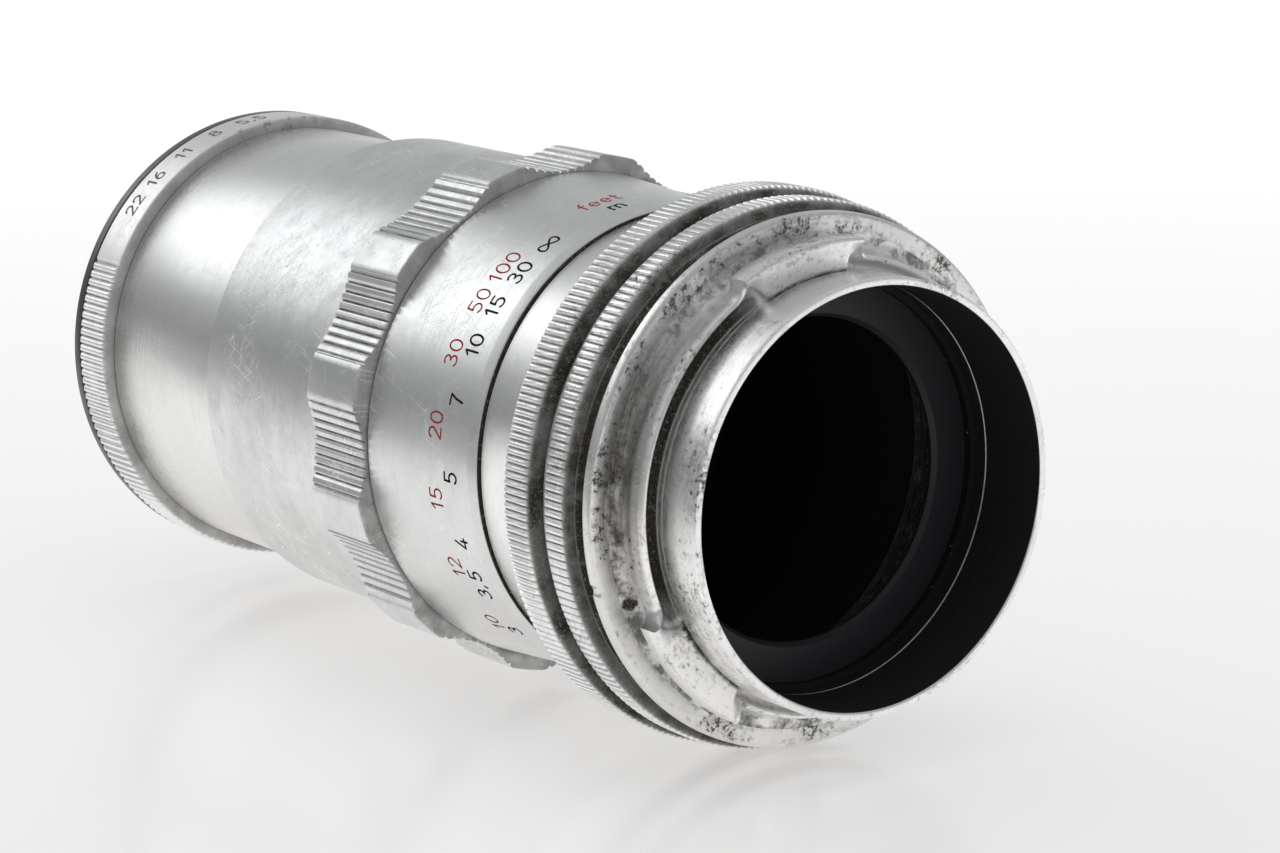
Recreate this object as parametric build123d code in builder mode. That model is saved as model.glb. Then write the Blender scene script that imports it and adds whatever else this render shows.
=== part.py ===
"""Long-focus camera lens in an aluminium mount, as separate pieces in millimetres.

The optical axis is +Y, from the rear end of the bayonet tail (y = 0) to the front ring.
Angles are about +Y, from straight up (+Z) towards +X.
"""
from build123d import *
from math import atan2, cos, degrees, hypot, radians, sin, sqrt
import os

os.makedirs("parts", exist_ok=True)

# Edges and fits
EDGE = 0.15                     # easing of turned edges
FIT = 0.06                      # radial play of a running fit
GAP = 0.10                      # axial play between turning rings

# Bayonet tail and flange
BORE_R = 21.0
LIP_R = 21.8
LIP_END = 5.35
LUG_START = 5.5
LUG_END = 8.2
LUG_R = 25.0
LUG_WIDTH = 34.5                # degrees
LUG_CENTRES = (-11.2, 108.8, -131.2)
COLLAR_START = 6.6
COLLAR_R = 23.2
SLOT_R = 21.5                   # floor of the slot between lip and collar
FLANGE_FACE = 10.0
FLANGE_RIM_END = 11.4
FLANGE_R = 27.0
SPIGOT_R = 22.6
SPIGOT_END = 17.0
WAIST_R = 25.2
GRIP_RING_START = 13.3
GRIP_RING_END = 17.8
GRIP_RING_R = 27.9
FLANGE_BODY_R = 25.8
FLANGE_END = 20.4
BAFFLE_Y = 10.9
BAFFLE_R = 16.4

# Lock ring and fixed barrel
LOCK_START = 18.4
LOCK_END = 22.7
LOCK_R = 28.5
BARREL_COLLAR_R = 25.7
BARREL_COLLAR_START = 20.5
BARREL_COLLAR_END = 21.6
BARREL_R = 24.4
BARREL_STEP = 32.4
GUIDE_R = 22.7
GUIDE_BORE_R = 21.7
GUIDE_END = 79.5

# Focusing ring
SCALE_START = 32.9
SCALE_BEVEL_END = 34.1
SCALE_END = 51.1
SCALE_REAR_R = 24.93
SCALE_FRONT_R = 26.15
BEARING_END = 45.0
SLEEVE_BORE_R = 24.76
JOINT_R = 25.4                  # spigot between scale ring and sleeve
JOINT_START = 48.0
GRIP_END = 61.2
LAND_R = 28.0
SCALLOPS = 12
SCALLOP_PHASE = -2.6
SCALLOP_HALF_ANGLE = 10.0
SCALLOP_FLOOR_R = 26.45
SCALLOP_CUTTER_R = 11.3
RIBS_PER_SCALLOP = 9
RIB_DEPTH = 0.42
SLEEVE_R = 26.05
SLEEVE_END = 84.5

# Focusing motion
FOCUS_BACK = 204.0              # degrees from the stored pose to infinity
FOCUS_ON = 21.0                 # degrees from the stored pose to the near limit
STOP_Y = 39.1
STOP_R = 0.9
KEY_WIDTH = 3.0
KEY_START = 72.0
KEY_END = 78.0
KEY_R = 23.5
KEYWAY_R = 23.7
KEYWAY_END = 101.5

# Sliding head
HEAD_START = 70.5
HEAD_R = 24.7
HEAD_BORE_R = 22.8
HEAD_SEAT_R = 24.1
HELICOID_END = 81.5
HEAD_SHOULDER_START = 102.5
HEAD_SHOULDER_END = 106.5
APERTURE_START = 108.0
HEAD_END = 113.0
LENS_BARREL_R = 21.4
LENS_BARREL_BORE_R = 20.8
LENS_BARREL_START = 52.0
LENS_BARREL_END = 110.4

# Aperture ring and iris
APERTURE_END = 113.8
APERTURE_R = 26.2
APERTURE_PLAIN_R = 26.0
APERTURE_KNURL_FROM = 66.0      # plain part spans this many degrees each side of the top
APERTURE_TURN = 45.0
SCREW_ANGLE = 150.0
SCREW_Y = 109.6
SCREW_R = 0.8
IRIS_BASE_START = 93.0
IRIS_BASE_END = 93.8
IRIS_OPEN_R = 14.0
BLADES = 12
BLADE_FIRST_Y = 94.0
BLADE_STEP = 0.2
BLADE_THICKNESS = 0.12
BLADE_IN_R = 14.2
BLADE_OUT_R = 17.0
BLADE_SPAN = 108.0
BLADE_TURN = 32.4
PIVOT_R = 18.2
PIN_R = 0.35
DRIVE_ARM = 4.0
ARM_ANGLE = -104.9              # from the pivot's own radius to the drive pin, iris open
DRIVE_PLATE_START = 96.6
DRIVE_PLATE_END = 97.7
SKIRT_R = 20.72
SKIRT_BORE_R = 20.0
SKIRT_END = 110.1

# Front cell and front ring
CELL_R = 19.85
CELL_BORE_R = 18.5
CELL_START = 98.3
CELL_END = 111.7
FRONT_FLANGE_R = 22.5
FILTER_R = 22.8
FRONT_RING_START = 113.9
FRONT_RING_END = 115.3

# Rear cell
REAR_CELL_START = 50.0
REAR_CELL_END = 64.0
REAR_BORE_R = 16.0


def station(y):
    """Plane across the axis at y: local x is up, local y is +X, so angles turn about +Y."""
    return Plane(origin=(0, y, 0), x_dir=(0, 0, 1), z_dir=(0, 1, 0))


def polar(radius, angle):
    """Point of a cross-section at an angle in degrees."""
    return (radius * cos(radians(angle)), radius * sin(radians(angle)))


def knurl(outer, depth, count, start=0.0, span=360.0):
    """Corners of straight V-shaped ribs along an arc."""
    pitch = span / count
    corners = []
    for rib in range(count):
        corners.append(polar(outer - depth, start + rib * pitch))
        corners.append(polar(outer, start + (rib + 0.3) * pitch))
        corners.append(polar(outer, start + (rib + 0.7) * pitch))
    return corners


def sag(radius_of_curvature, r):
    """Depth of a spherical surface at radius r."""
    return radius_of_curvature - sqrt(radius_of_curvature**2 - r**2)


def finish(part, name):
    """Label a piece and write it."""
    part.part.label = name
    export_step(part.part, f"parts/{name}.step")


# ---- bayonet tail: lip tube, collar and three lugs ----
with BuildPart() as bayonet_tail:
    with BuildSketch(Plane.XY) as profile:
        Polygon(
            (BORE_R, 0), (LIP_R, 0), (LIP_R, LIP_END), (SLOT_R, LIP_END),
            (SLOT_R, COLLAR_START), (COLLAR_R, COLLAR_START), (COLLAR_R, FLANGE_FACE),
            (SPIGOT_R, FLANGE_FACE), (SPIGOT_R, SPIGOT_END), (BORE_R, SPIGOT_END),
            align=None,
        )
        fillet(profile.vertices().group_by(Axis.Y)[0], EDGE)
        fillet(profile.vertices().sort_by_distance((COLLAR_R, COLLAR_START))[0], 0.5)
    revolve(axis=Axis.Y)
    for centre in LUG_CENTRES:
        for start, end, core in ((LUG_START, COLLAR_START, SLOT_R), (COLLAR_START, LUG_END, COLLAR_R)):
            with BuildSketch(station(start)) as lug:
                with BuildLine():
                    arc = CenterArc((0, 0), LUG_R, centre - LUG_WIDTH / 2, LUG_WIDTH)
                    Line((0, 0), arc @ 0)
                    Line(arc @ 1, (0, 0))
                make_face()
                Circle(core)
                corners = lug.vertices().filter_by(lambda v, r=core: abs(hypot(v.X, v.Z) - r) < 0.01)
                fillet(corners.filter_by(lambda v: hypot(v.X, v.Z) > 1), 1.2)
                Circle(BORE_R + 0.2, mode=Mode.SUBTRACT)
            extrude(amount=end - start)
finish(bayonet_tail, "bayonet_tail")

# ---- mount flange: rim, concave waist and the spigot under the lock ring ----
with BuildPart() as mount_flange:
    with BuildSketch(Plane.XY) as profile:
        with BuildLine():
            Polyline(
                (FLANGE_BODY_R, GRIP_RING_START), (FLANGE_BODY_R, FLANGE_END),
                (BORE_R, FLANGE_END), (BORE_R, SPIGOT_END), (SPIGOT_R, SPIGOT_END),
                (SPIGOT_R, FLANGE_FACE), (FLANGE_R, FLANGE_FACE), (FLANGE_R, FLANGE_RIM_END),
                (FLANGE_BODY_R, FLANGE_RIM_END),
            )
            middle = (FLANGE_RIM_END + GRIP_RING_START) / 2
            ThreePointArc(
                (FLANGE_BODY_R, FLANGE_RIM_END), (WAIST_R, middle), (FLANGE_BODY_R, GRIP_RING_START)
            )
        make_face()
        fillet(profile.vertices().group_by(Axis.X)[-1], 0.4)
    revolve(axis=Axis.Y)
finish(mount_flange, "mount_flange")

# ---- knurled ring fixed on the flange ----
GRIP_RING_BEVEL = 16.6
with BuildPart() as mount_grip_ring:
    with BuildSketch(Plane.XY):
        Polygon(
            (FLANGE_BODY_R, GRIP_RING_START), (GRIP_RING_R - 0.5, GRIP_RING_START),
            (GRIP_RING_R, GRIP_RING_START + 0.4), (GRIP_RING_R, GRIP_RING_BEVEL - 0.3),
            (GRIP_RING_R - 0.45, GRIP_RING_BEVEL), (GRIP_RING_R - 0.95, GRIP_RING_END),
            (FLANGE_BODY_R, GRIP_RING_END),
            align=None,
        )
    revolve(axis=Axis.Y)
    with BuildSketch(station(GRIP_RING_START)):
        Polygon(*knurl(GRIP_RING_R, 0.4, 208), align=None)
    extrude(amount=GRIP_RING_END - GRIP_RING_START, mode=Mode.INTERSECT)
finish(mount_grip_ring, "mount_grip_ring")

# ---- baffle inside the tail and the ring that holds it ----
with BuildPart() as rear_baffle:
    with BuildSketch(Plane.XY):
        Polygon(
            (BAFFLE_R, BAFFLE_Y + 0.5), (BAFFLE_R + 0.4, BAFFLE_Y), (BORE_R - 0.02, BAFFLE_Y),
            (BORE_R - 0.02, BAFFLE_Y + 1.0), (BAFFLE_R, BAFFLE_Y + 1.0),
            align=None,
        )
    revolve(axis=Axis.Y)
finish(rear_baffle, "rear_baffle")

with BuildPart() as baffle_ring:
    with BuildSketch(Plane.XY):
        Polygon(
            (BORE_R - 0.6, BAFFLE_Y - 0.9), (BORE_R - 0.02, BAFFLE_Y - 1.1),
            (BORE_R - 0.02, BAFFLE_Y - 0.02), (BORE_R - 0.6, BAFFLE_Y - 0.02),
            align=None,
        )
    revolve(axis=Axis.Y)
finish(baffle_ring, "baffle_ring")

# ---- knurled lock ring that draws the mount onto the barrel ----
with BuildPart() as lock_ring:
    with BuildSketch(Plane.XY):
        Polygon(
            (FLANGE_BODY_R + FIT, LOCK_START), (LOCK_R - 0.45, LOCK_START),
            (LOCK_R, LOCK_START + 0.4), (LOCK_R, LOCK_END - 0.4), (LOCK_R - 0.45, LOCK_END),
            (BARREL_R + FIT, LOCK_END), (BARREL_R + FIT, BARREL_COLLAR_END + GAP),
            (FLANGE_BODY_R + FIT, BARREL_COLLAR_END + GAP),
            align=None,
        )
    revolve(axis=Axis.Y)
    with BuildSketch(station(LOCK_START)):
        Polygon(*knurl(LOCK_R, 0.42, 230), align=None)
    extrude(amount=LOCK_END - LOCK_START, mode=Mode.INTERSECT)
finish(lock_ring, "lock_ring")

# ---- fixed barrel: collar under the lock ring, visible tube and long guide tube ----
with BuildPart() as fixed_barrel:
    with BuildSketch(Plane.XY):
        Polygon(
            (GUIDE_BORE_R, BARREL_COLLAR_START), (BARREL_COLLAR_R, BARREL_COLLAR_START),
            (BARREL_COLLAR_R, BARREL_COLLAR_END), (BARREL_R, BARREL_COLLAR_END),
            (BARREL_R, BARREL_STEP - EDGE), (BARREL_R - EDGE, BARREL_STEP),
            (GUIDE_R, BARREL_STEP), (GUIDE_R, GUIDE_END), (GUIDE_BORE_R, GUIDE_END),
            align=None,
        )
    revolve(axis=Axis.Y)
    with Locations(Location((0, STOP_Y, GUIDE_BORE_R))):
        Cylinder(STOP_R, 3, mode=Mode.SUBTRACT)
    for angle in (90, 270):
        for y in (KEY_START + 1.5, KEY_END - 1.5):
            with Locations(Plane(origin=(0, y, 0), z_dir=(sin(radians(angle)), 0, cos(radians(angle))))):
                Cylinder(0.5, GUIDE_R + 1, align=(Align.CENTER, Align.CENTER, Align.MIN), mode=Mode.SUBTRACT)
finish(fixed_barrel, "fixed_barrel")

# ---- stop screw, whose head runs in the groove of the scale ring ----
with BuildPart() as stop_screw:
    with BuildSketch(Plane.XY.offset(GUIDE_BORE_R + 0.1)):
        with Locations((0, STOP_Y)):
            Circle(STOP_R - 0.02)
    extrude(amount=23.45 - GUIDE_BORE_R - 0.1)
finish(stop_screw, "stop_screw")

# ---- ring that holds the focusing ring on the guide tube ----
with BuildPart() as focus_retaining_ring:
    with BuildSketch(Plane.XY) as profile:
        Polygon(
            (GUIDE_R, BEARING_END + GAP), (24.2, BEARING_END + GAP), (24.2, 47.1), (GUIDE_R, 47.1),
            align=None,
        )
    revolve(axis=Axis.Y)
    with BuildSketch(station(46.2)):
        with PolarLocations(24.2, 4):
            Rectangle(1.6, 1.6)
    extrude(amount=1.0, mode=Mode.SUBTRACT)
finish(focus_retaining_ring, "focus_retaining_ring")

# ---- two keys that keep the head from turning, and their screws ----
with BuildPart() as guide_keys:
    with BuildSketch(station(KEY_START)):
        for angle in (90, 270):
            with Locations(Location(polar((GUIDE_R + KEY_R) / 2, angle), angle)):
                Rectangle(KEY_R - GUIDE_R, KEY_WIDTH)
        Circle(GUIDE_R, mode=Mode.SUBTRACT)
    extrude(amount=KEY_END - KEY_START)
    for angle in (90, 270):
        for y in (KEY_START + 1.5, KEY_END - 1.5):
            with Locations(Plane(origin=(0, y, 0), z_dir=(sin(radians(angle)), 0, cos(radians(angle))))):
                Cylinder(0.5, KEY_R + 1, align=(Align.CENTER, Align.CENTER, Align.MIN), mode=Mode.SUBTRACT)
finish(guide_keys, "guide_keys")

with BuildPart() as key_screws:
    for angle in (90, 270):
        for y in (KEY_START + 1.5, KEY_END - 1.5):
            face = Plane(
                origin=(22.0 * sin(radians(angle)), y, 22.0 * cos(radians(angle))),
                z_dir=(sin(radians(angle)), 0, cos(radians(angle))),
            )
            with BuildSketch(face):
                Circle(0.48)
            extrude(amount=KEY_R - 0.1 - 22.0)
finish(key_screws, "key_screws")

# ---- conical distance scale ring, running on the guide tube ----
with BuildPart() as scale_ring:
    with BuildSketch(Plane.XY):
        Polygon(
            (GUIDE_R + FIT, SCALE_START), (SCALE_REAR_R - 0.3, SCALE_START),
            (SCALE_REAR_R, SCALE_BEVEL_END), (SCALE_FRONT_R, SCALE_END), (JOINT_R, SCALE_END),
            (JOINT_R, JOINT_START), (SLEEVE_BORE_R, JOINT_START), (SLEEVE_BORE_R, BEARING_END),
            (GUIDE_R + FIT, BEARING_END),
            align=None,
        )
    revolve(axis=Axis.Y)
    spare = 4.0                 # degrees of groove past the stop screw's centre at each limit
    with BuildSketch(station(STOP_Y - 1.1)):
        with BuildLine():
            arc = CenterArc((0, 0), 23.6, -FOCUS_ON - spare, FOCUS_ON + FOCUS_BACK + 2 * spare)
            Line((0, 0), arc @ 0)
            Line(arc @ 1, (0, 0))
        make_face()
        Circle(GUIDE_R, mode=Mode.SUBTRACT)
    extrude(amount=2.2, mode=Mode.SUBTRACT)
finish(scale_ring, "scale_ring")


def scallop_cutter():
    """Outline cut from the grip band: a concave arc broken into small V-shaped ribs."""
    centre = SCALLOP_FLOOR_R + SCALLOP_CUTTER_R

    def floor(angle):
        across = centre * sin(radians(angle))
        return centre * cos(radians(angle)) - sqrt(SCALLOP_CUTTER_R**2 - across**2)

    half = SCALLOP_HALF_ANGLE
    pitch = 2 * half / (RIBS_PER_SCALLOP + 0.6)
    corners = [polar(LAND_R + 2, half), polar(LAND_R + 2, -half)]
    start = -half + 0.3 * pitch
    for rib in range(RIBS_PER_SCALLOP + 1):
        valley = start + rib * pitch
        corners.append(polar(floor(valley) - RIB_DEPTH, valley))
        if rib < RIBS_PER_SCALLOP:
            for share in (0.35, 0.65):
                top = valley + share * pitch
                corners.append(polar(floor(top), top))
    return corners


# ---- focusing sleeve: scalloped grip band and smooth sleeve ----
with BuildPart() as focus_sleeve:
    with BuildSketch(station(SCALE_END)):
        Circle(LAND_R)
        with PolarLocations(0, SCALLOPS, start_angle=SCALLOP_PHASE):
            Polygon(*scallop_cutter(), align=None, mode=Mode.SUBTRACT)
    extrude(amount=GRIP_END - SCALE_END)
    with BuildSketch(Plane.XY):
        Polygon(
            (0, SCALE_END), (LAND_R - 0.25, SCALE_END), (LAND_R + 0.01, SCALE_END + 0.25),
            (LAND_R + 0.01, GRIP_END - 0.8), (SLEEVE_R + 0.2, GRIP_END), (0, GRIP_END),
            align=None,
        )
    revolve(axis=Axis.Y, mode=Mode.INTERSECT)
    with BuildSketch(Plane.XY) as profile:
        Polygon(
            (SLEEVE_BORE_R - 0.5, SCALE_END), (25.9, SCALE_END), (25.9, GRIP_END - 0.3),
            (SLEEVE_R, GRIP_END - 0.3), (SLEEVE_R, SLEEVE_END), (SLEEVE_BORE_R - 0.5, SLEEVE_END),
            align=None,
        )
        fillet(profile.vertices().sort_by_distance((SLEEVE_R, SLEEVE_END))[0], 0.3)
    revolve(axis=Axis.Y)
    with BuildSketch(station(JOINT_START + GAP)):
        Circle(JOINT_R)
    extrude(amount=SCALE_END - JOINT_START - GAP)
    with BuildSketch(station(JOINT_START)):
        Circle(SLEEVE_BORE_R)
    extrude(amount=SLEEVE_END - JOINT_START, mode=Mode.SUBTRACT)
finish(focus_sleeve, "focus_sleeve")

# ---- head tube, which slides in the sleeve ----
with BuildPart() as head_tube:
    with BuildSketch(Plane.XY) as profile:
        Polygon(
            (HEAD_BORE_R, HEAD_START), (HEAD_SEAT_R, HEAD_START), (HEAD_SEAT_R, HELICOID_END),
            (HEAD_R, HELICOID_END), (HEAD_R, APERTURE_START), (HEAD_SEAT_R, APERTURE_START),
            (HEAD_SEAT_R, HEAD_END), (23.3, HEAD_END), (23.3, APERTURE_START),
            (HEAD_BORE_R, APERTURE_START), (HEAD_BORE_R, HEAD_SHOULDER_END),
            (LENS_BARREL_R, HEAD_SHOULDER_END), (LENS_BARREL_R, HEAD_SHOULDER_START),
            (HEAD_BORE_R, HEAD_SHOULDER_START),
            align=None,
        )
    revolve(axis=Axis.Y)
    with BuildSketch(station(HEAD_START)):
        for angle in (90, 270):
            with Locations(Location(polar(KEYWAY_R / 2, angle), angle)):
                Rectangle(KEYWAY_R, KEY_WIDTH + 0.1)
    extrude(amount=KEYWAY_END - HEAD_START, mode=Mode.SUBTRACT)
    with BuildSketch(station(SCREW_Y - SCREW_R - 0.1)):
        with BuildLine():
            arc = CenterArc((0, 0), HEAD_SEAT_R + 1, SCREW_ANGLE - 3, APERTURE_TURN + 6)
            Line((0, 0), arc @ 0)
            Line(arc @ 1, (0, 0))
        make_face()
    extrude(amount=2 * SCREW_R + 0.2, mode=Mode.SUBTRACT)
finish(head_tube, "head_tube")

# ---- multi-start helicoid ring on the rear of the head tube ----
with BuildPart() as head_helicoid:
    with BuildSketch(Plane.XY) as profile:
        Polygon(
            (HEAD_SEAT_R, HEAD_START), (HEAD_R, HEAD_START), (HEAD_R, HELICOID_END - 0.1),
            (HEAD_SEAT_R, HELICOID_END - 0.1),
            align=None,
        )
    revolve(axis=Axis.Y)
finish(head_helicoid, "head_helicoid")

# ---- inner lens barrel, hung from the front of the head ----
with BuildPart() as lens_barrel:
    with BuildSketch(Plane.XY):
        Polygon(
            (LENS_BARREL_BORE_R, LENS_BARREL_START), (LENS_BARREL_R, LENS_BARREL_START),
            (LENS_BARREL_R, HEAD_SHOULDER_END), (HEAD_BORE_R - 0.05, HEAD_SHOULDER_END),
            (HEAD_BORE_R - 0.05, APERTURE_START), (LENS_BARREL_R, APERTURE_START),
            (LENS_BARREL_R, LENS_BARREL_END), (LENS_BARREL_BORE_R, LENS_BARREL_END),
            (LENS_BARREL_BORE_R, IRIS_BASE_START), (19.4, IRIS_BASE_START),
            (19.4, IRIS_BASE_START - 1.5), (LENS_BARREL_BORE_R, IRIS_BASE_START - 2.5),
            align=None,
        )
    revolve(axis=Axis.Y)
    with BuildSketch(station(SCREW_Y - SCREW_R - 0.1)):
        with BuildLine():
            arc = CenterArc((0, 0), HEAD_SEAT_R, SCREW_ANGLE - 4, APERTURE_TURN + 8)
            Line((0, 0), arc @ 0)
            Line(arc @ 1, (0, 0))
        make_face()
    extrude(amount=5, mode=Mode.SUBTRACT)
finish(lens_barrel, "lens_barrel")

with BuildPart() as barrel_retaining_ring:
    with BuildSketch(Plane.XY):
        Polygon(
            (LENS_BARREL_R, APERTURE_START), (23.28, APERTURE_START), (23.28, APERTURE_START + 0.6),
            (LENS_BARREL_R, APERTURE_START + 0.6),
            align=None,
        )
    revolve(axis=Axis.Y)
finish(barrel_retaining_ring, "barrel_retaining_ring")

# ---- iris base plate with one pivot hole for each blade ----
with BuildPart() as iris_base:
    with BuildSketch(station(IRIS_BASE_START)):
        Circle(LENS_BARREL_BORE_R - 0.03)
        Circle(IRIS_OPEN_R, mode=Mode.SUBTRACT)
        with PolarLocations(PIVOT_R, BLADES):
            Circle(PIN_R + 0.05, mode=Mode.SUBTRACT)
    extrude(amount=IRIS_BASE_END - IRIS_BASE_START)
finish(iris_base, "iris_base")


def drive_pin(share):
    """Centre of the first blade's drive pin, when the blade has turned by share of its travel."""
    angle = ARM_ANGLE + share * BLADE_TURN
    return (PIVOT_R + DRIVE_ARM * cos(radians(angle)), DRIVE_ARM * sin(radians(angle)))


def cam_slot(half_width):
    """Outline of the slot that the first blade's drive pin needs in the drive ring."""
    steps = 12
    centres = []
    for step in range(steps + 1):
        share = step / steps
        pin = drive_pin(share)
        angle = degrees(atan2(pin[1], pin[0])) - share * APERTURE_TURN
        centres.append(Vector(*polar(hypot(*pin), angle)))
    left = []
    right = []
    for here, there in zip(centres[:-1], centres[1:]):
        along = (there - here).normalized() * half_width
        middle = (here + there) / 2
        left.append((middle.X - along.Y, middle.Y + along.X))
        right.append((middle.X + along.Y, middle.Y - along.X))
    first = (centres[1] - centres[0]).normalized() * half_width
    last = (centres[-1] - centres[-2]).normalized() * half_width
    tail = [
        (centres[0].X + first.Y, centres[0].Y - first.X),
        (centres[0].X - first.X, centres[0].Y - first.Y),
        (centres[0].X - first.Y, centres[0].Y + first.X),
    ]
    nose = [
        (centres[-1].X - last.Y, centres[-1].Y + last.X),
        (centres[-1].X + last.X, centres[-1].Y + last.Y),
        (centres[-1].X + last.Y, centres[-1].Y - last.X),
    ]
    return tail + left + nose + right[::-1]


# ---- iris drive ring: slotted plate and the skirt that reaches the drive screw ----
with BuildPart() as iris_drive_ring:
    with BuildSketch(Plane.XY):
        Polygon(
            (BLADE_IN_R, DRIVE_PLATE_START), (SKIRT_R, DRIVE_PLATE_START), (SKIRT_R, SKIRT_END),
            (SKIRT_BORE_R, SKIRT_END), (SKIRT_BORE_R, DRIVE_PLATE_END), (BLADE_IN_R, DRIVE_PLATE_END),
            align=None,
        )
    revolve(axis=Axis.Y)
    with BuildSketch(station(DRIVE_PLATE_START)):
        with PolarLocations(0, BLADES):
            Polygon(*cam_slot(PIN_R + 0.12), align=None)
    extrude(amount=DRIVE_PLATE_END - DRIVE_PLATE_START, mode=Mode.SUBTRACT)
    with BuildSketch(Plane(
        origin=(0, SCREW_Y, 0), z_dir=(sin(radians(SCREW_ANGLE)), 0, cos(radians(SCREW_ANGLE)))
    )):
        Circle(SCREW_R)
    extrude(amount=SKIRT_R + 1, mode=Mode.SUBTRACT)
finish(iris_drive_ring, "iris_drive_ring")

# ---- iris blades, one level above the other ----
for index in range(BLADES):
    level = BLADE_FIRST_Y + index * BLADE_STEP
    turn = index * 360 / BLADES
    pivot = polar(PIVOT_R, turn)
    pin_r = hypot(*drive_pin(0))
    pin_angle = turn + degrees(atan2(drive_pin(0)[1], drive_pin(0)[0]))
    pin = polar(pin_r, pin_angle)
    middle_r = (BLADE_IN_R + BLADE_OUT_R) / 2
    with BuildPart() as blade:
        with BuildSketch(station(level)):
            with BuildLine():
                CenterArc((0, 0), BLADE_OUT_R, turn + 3, BLADE_SPAN)
                CenterArc((0, 0), BLADE_IN_R, turn + 3, BLADE_SPAN)
                Line(polar(BLADE_IN_R, turn + 3), polar(BLADE_OUT_R, turn + 3))
                Line(polar(BLADE_IN_R, turn + 3 + BLADE_SPAN), polar(BLADE_OUT_R, turn + 3 + BLADE_SPAN))
            make_face()
            with Locations(polar(middle_r, turn + 3)):
                Circle((BLADE_OUT_R - BLADE_IN_R) / 2)
            for end in (polar(middle_r, turn + 3), pin):
                centre = ((pivot[0] + end[0]) / 2, (pivot[1] + end[1]) / 2)
                across = hypot(end[0] - pivot[0], end[1] - pivot[1])
                bearing = degrees(atan2(end[1] - pivot[1], end[0] - pivot[0]))
                with Locations(Location(centre, bearing)):
                    SlotCenterToCenter(across, 1.7)
        extrude(amount=BLADE_THICKNESS)
        with BuildSketch(station(IRIS_BASE_START + 0.1)):
            with Locations(pivot):
                Circle(PIN_R)
        extrude(amount=level - IRIS_BASE_START)
        with BuildSketch(station(level)):
            with Locations(pin):
                Circle(PIN_R)
        extrude(amount=DRIVE_PLATE_END - 0.1 - level)
    finish(blade, f"iris_blade_{index + 1:02d}")

# ---- aperture ring: plain numbered part on top, coarse knurl on the rest ----
with BuildPart() as aperture_ring:
    with BuildSketch(Plane.XY) as profile:
        Polygon(
            (HEAD_SEAT_R + FIT, APERTURE_START + 0.05), (APERTURE_R - 0.35, APERTURE_START + 0.05),
            (APERTURE_R, APERTURE_START + 0.35), (APERTURE_R, APERTURE_END - 0.3),
            (APERTURE_R - 0.35, APERTURE_END), (HEAD_SEAT_R + FIT, APERTURE_END),
            align=None,
        )
    revolve(axis=Axis.Y)
    with BuildSketch(station(APERTURE_START)):
        Circle(APERTURE_PLAIN_R)
        knurled = 360 - 2 * APERTURE_KNURL_FROM
        with BuildLine():
            arc = CenterArc((0, 0), APERTURE_R + 1, APERTURE_KNURL_FROM, knurled)
            Line((0, 0), arc @ 0)
            Line(arc @ 1, (0, 0))
        make_face(mode=Mode.SUBTRACT)
        Polygon((0, 0), *knurl(APERTURE_R, 0.5, 106, APERTURE_KNURL_FROM, knurled), align=None)
    extrude(amount=APERTURE_END - APERTURE_START, mode=Mode.INTERSECT)
    with BuildSketch(Plane(
        origin=(0, SCREW_Y, 0), z_dir=(sin(radians(SCREW_ANGLE)), 0, cos(radians(SCREW_ANGLE)))
    )):
        Circle(SCREW_R)
    extrude(amount=APERTURE_R + 1, mode=Mode.SUBTRACT)
finish(aperture_ring, "aperture_ring")

# ---- screw that joins the aperture ring to the iris drive ring ----
with BuildPart() as drive_screw:
    outwards = Vector(sin(radians(SCREW_ANGLE)), 0, cos(radians(SCREW_ANGLE)))
    with BuildSketch(Plane(origin=outwards * (SKIRT_BORE_R + 0.05) + Vector(0, SCREW_Y, 0), z_dir=outwards)):
        Circle(SCREW_R - 0.02)
    extrude(amount=APERTURE_R - 0.8 - SKIRT_BORE_R)
    with BuildSketch(Plane(origin=outwards * (APERTURE_R - 1.0) + Vector(0, SCREW_Y, 0), z_dir=outwards)):
        Rectangle(2, 0.35)
    extrude(amount=1, mode=Mode.SUBTRACT)
finish(drive_screw, "drive_screw")

# ---- front cell and its glass ----
with BuildPart() as front_cell:
    with BuildSketch(Plane.XY):
        Polygon(
            (17.3, CELL_START), (CELL_R, CELL_START), (CELL_R, LENS_BARREL_END),
            (FRONT_FLANGE_R, LENS_BARREL_END), (FRONT_FLANGE_R, CELL_END), (CELL_BORE_R, CELL_END),
            (CELL_BORE_R, CELL_START + 1.5), (17.3, CELL_START + 1.5),
            align=None,
        )
    revolve(axis=Axis.Y)
finish(front_cell, "front_cell")

GLASS_R = CELL_BORE_R - 0.05
with BuildPart() as front_element_1:
    front_vertex = 111.0
    rear_vertex = 103.5
    with BuildSketch(Plane.XY):
        with BuildLine():
            front = RadiusArc((0, front_vertex), (GLASS_R, front_vertex - sag(45, GLASS_R)), 45)
            rear = RadiusArc((0, rear_vertex), (GLASS_R, rear_vertex + sag(150, GLASS_R)), -150)
            Line(front @ 1, rear @ 1)
            Line(rear @ 0, front @ 0)
        make_face()
    revolve(axis=Axis.Y)
finish(front_element_1, "front_element_1")

with BuildPart() as front_element_2:
    front_vertex = 101.9
    with BuildSketch(Plane.XY):
        with BuildLine():
            front = RadiusArc((0, front_vertex), (GLASS_R, front_vertex + sag(120, GLASS_R)), -120)
            Polyline(front @ 1, (GLASS_R, CELL_START + 1.55), (0, CELL_START + 1.55), front @ 0)
        make_face()
    revolve(axis=Axis.Y)
finish(front_element_2, "front_element_2")

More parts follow.
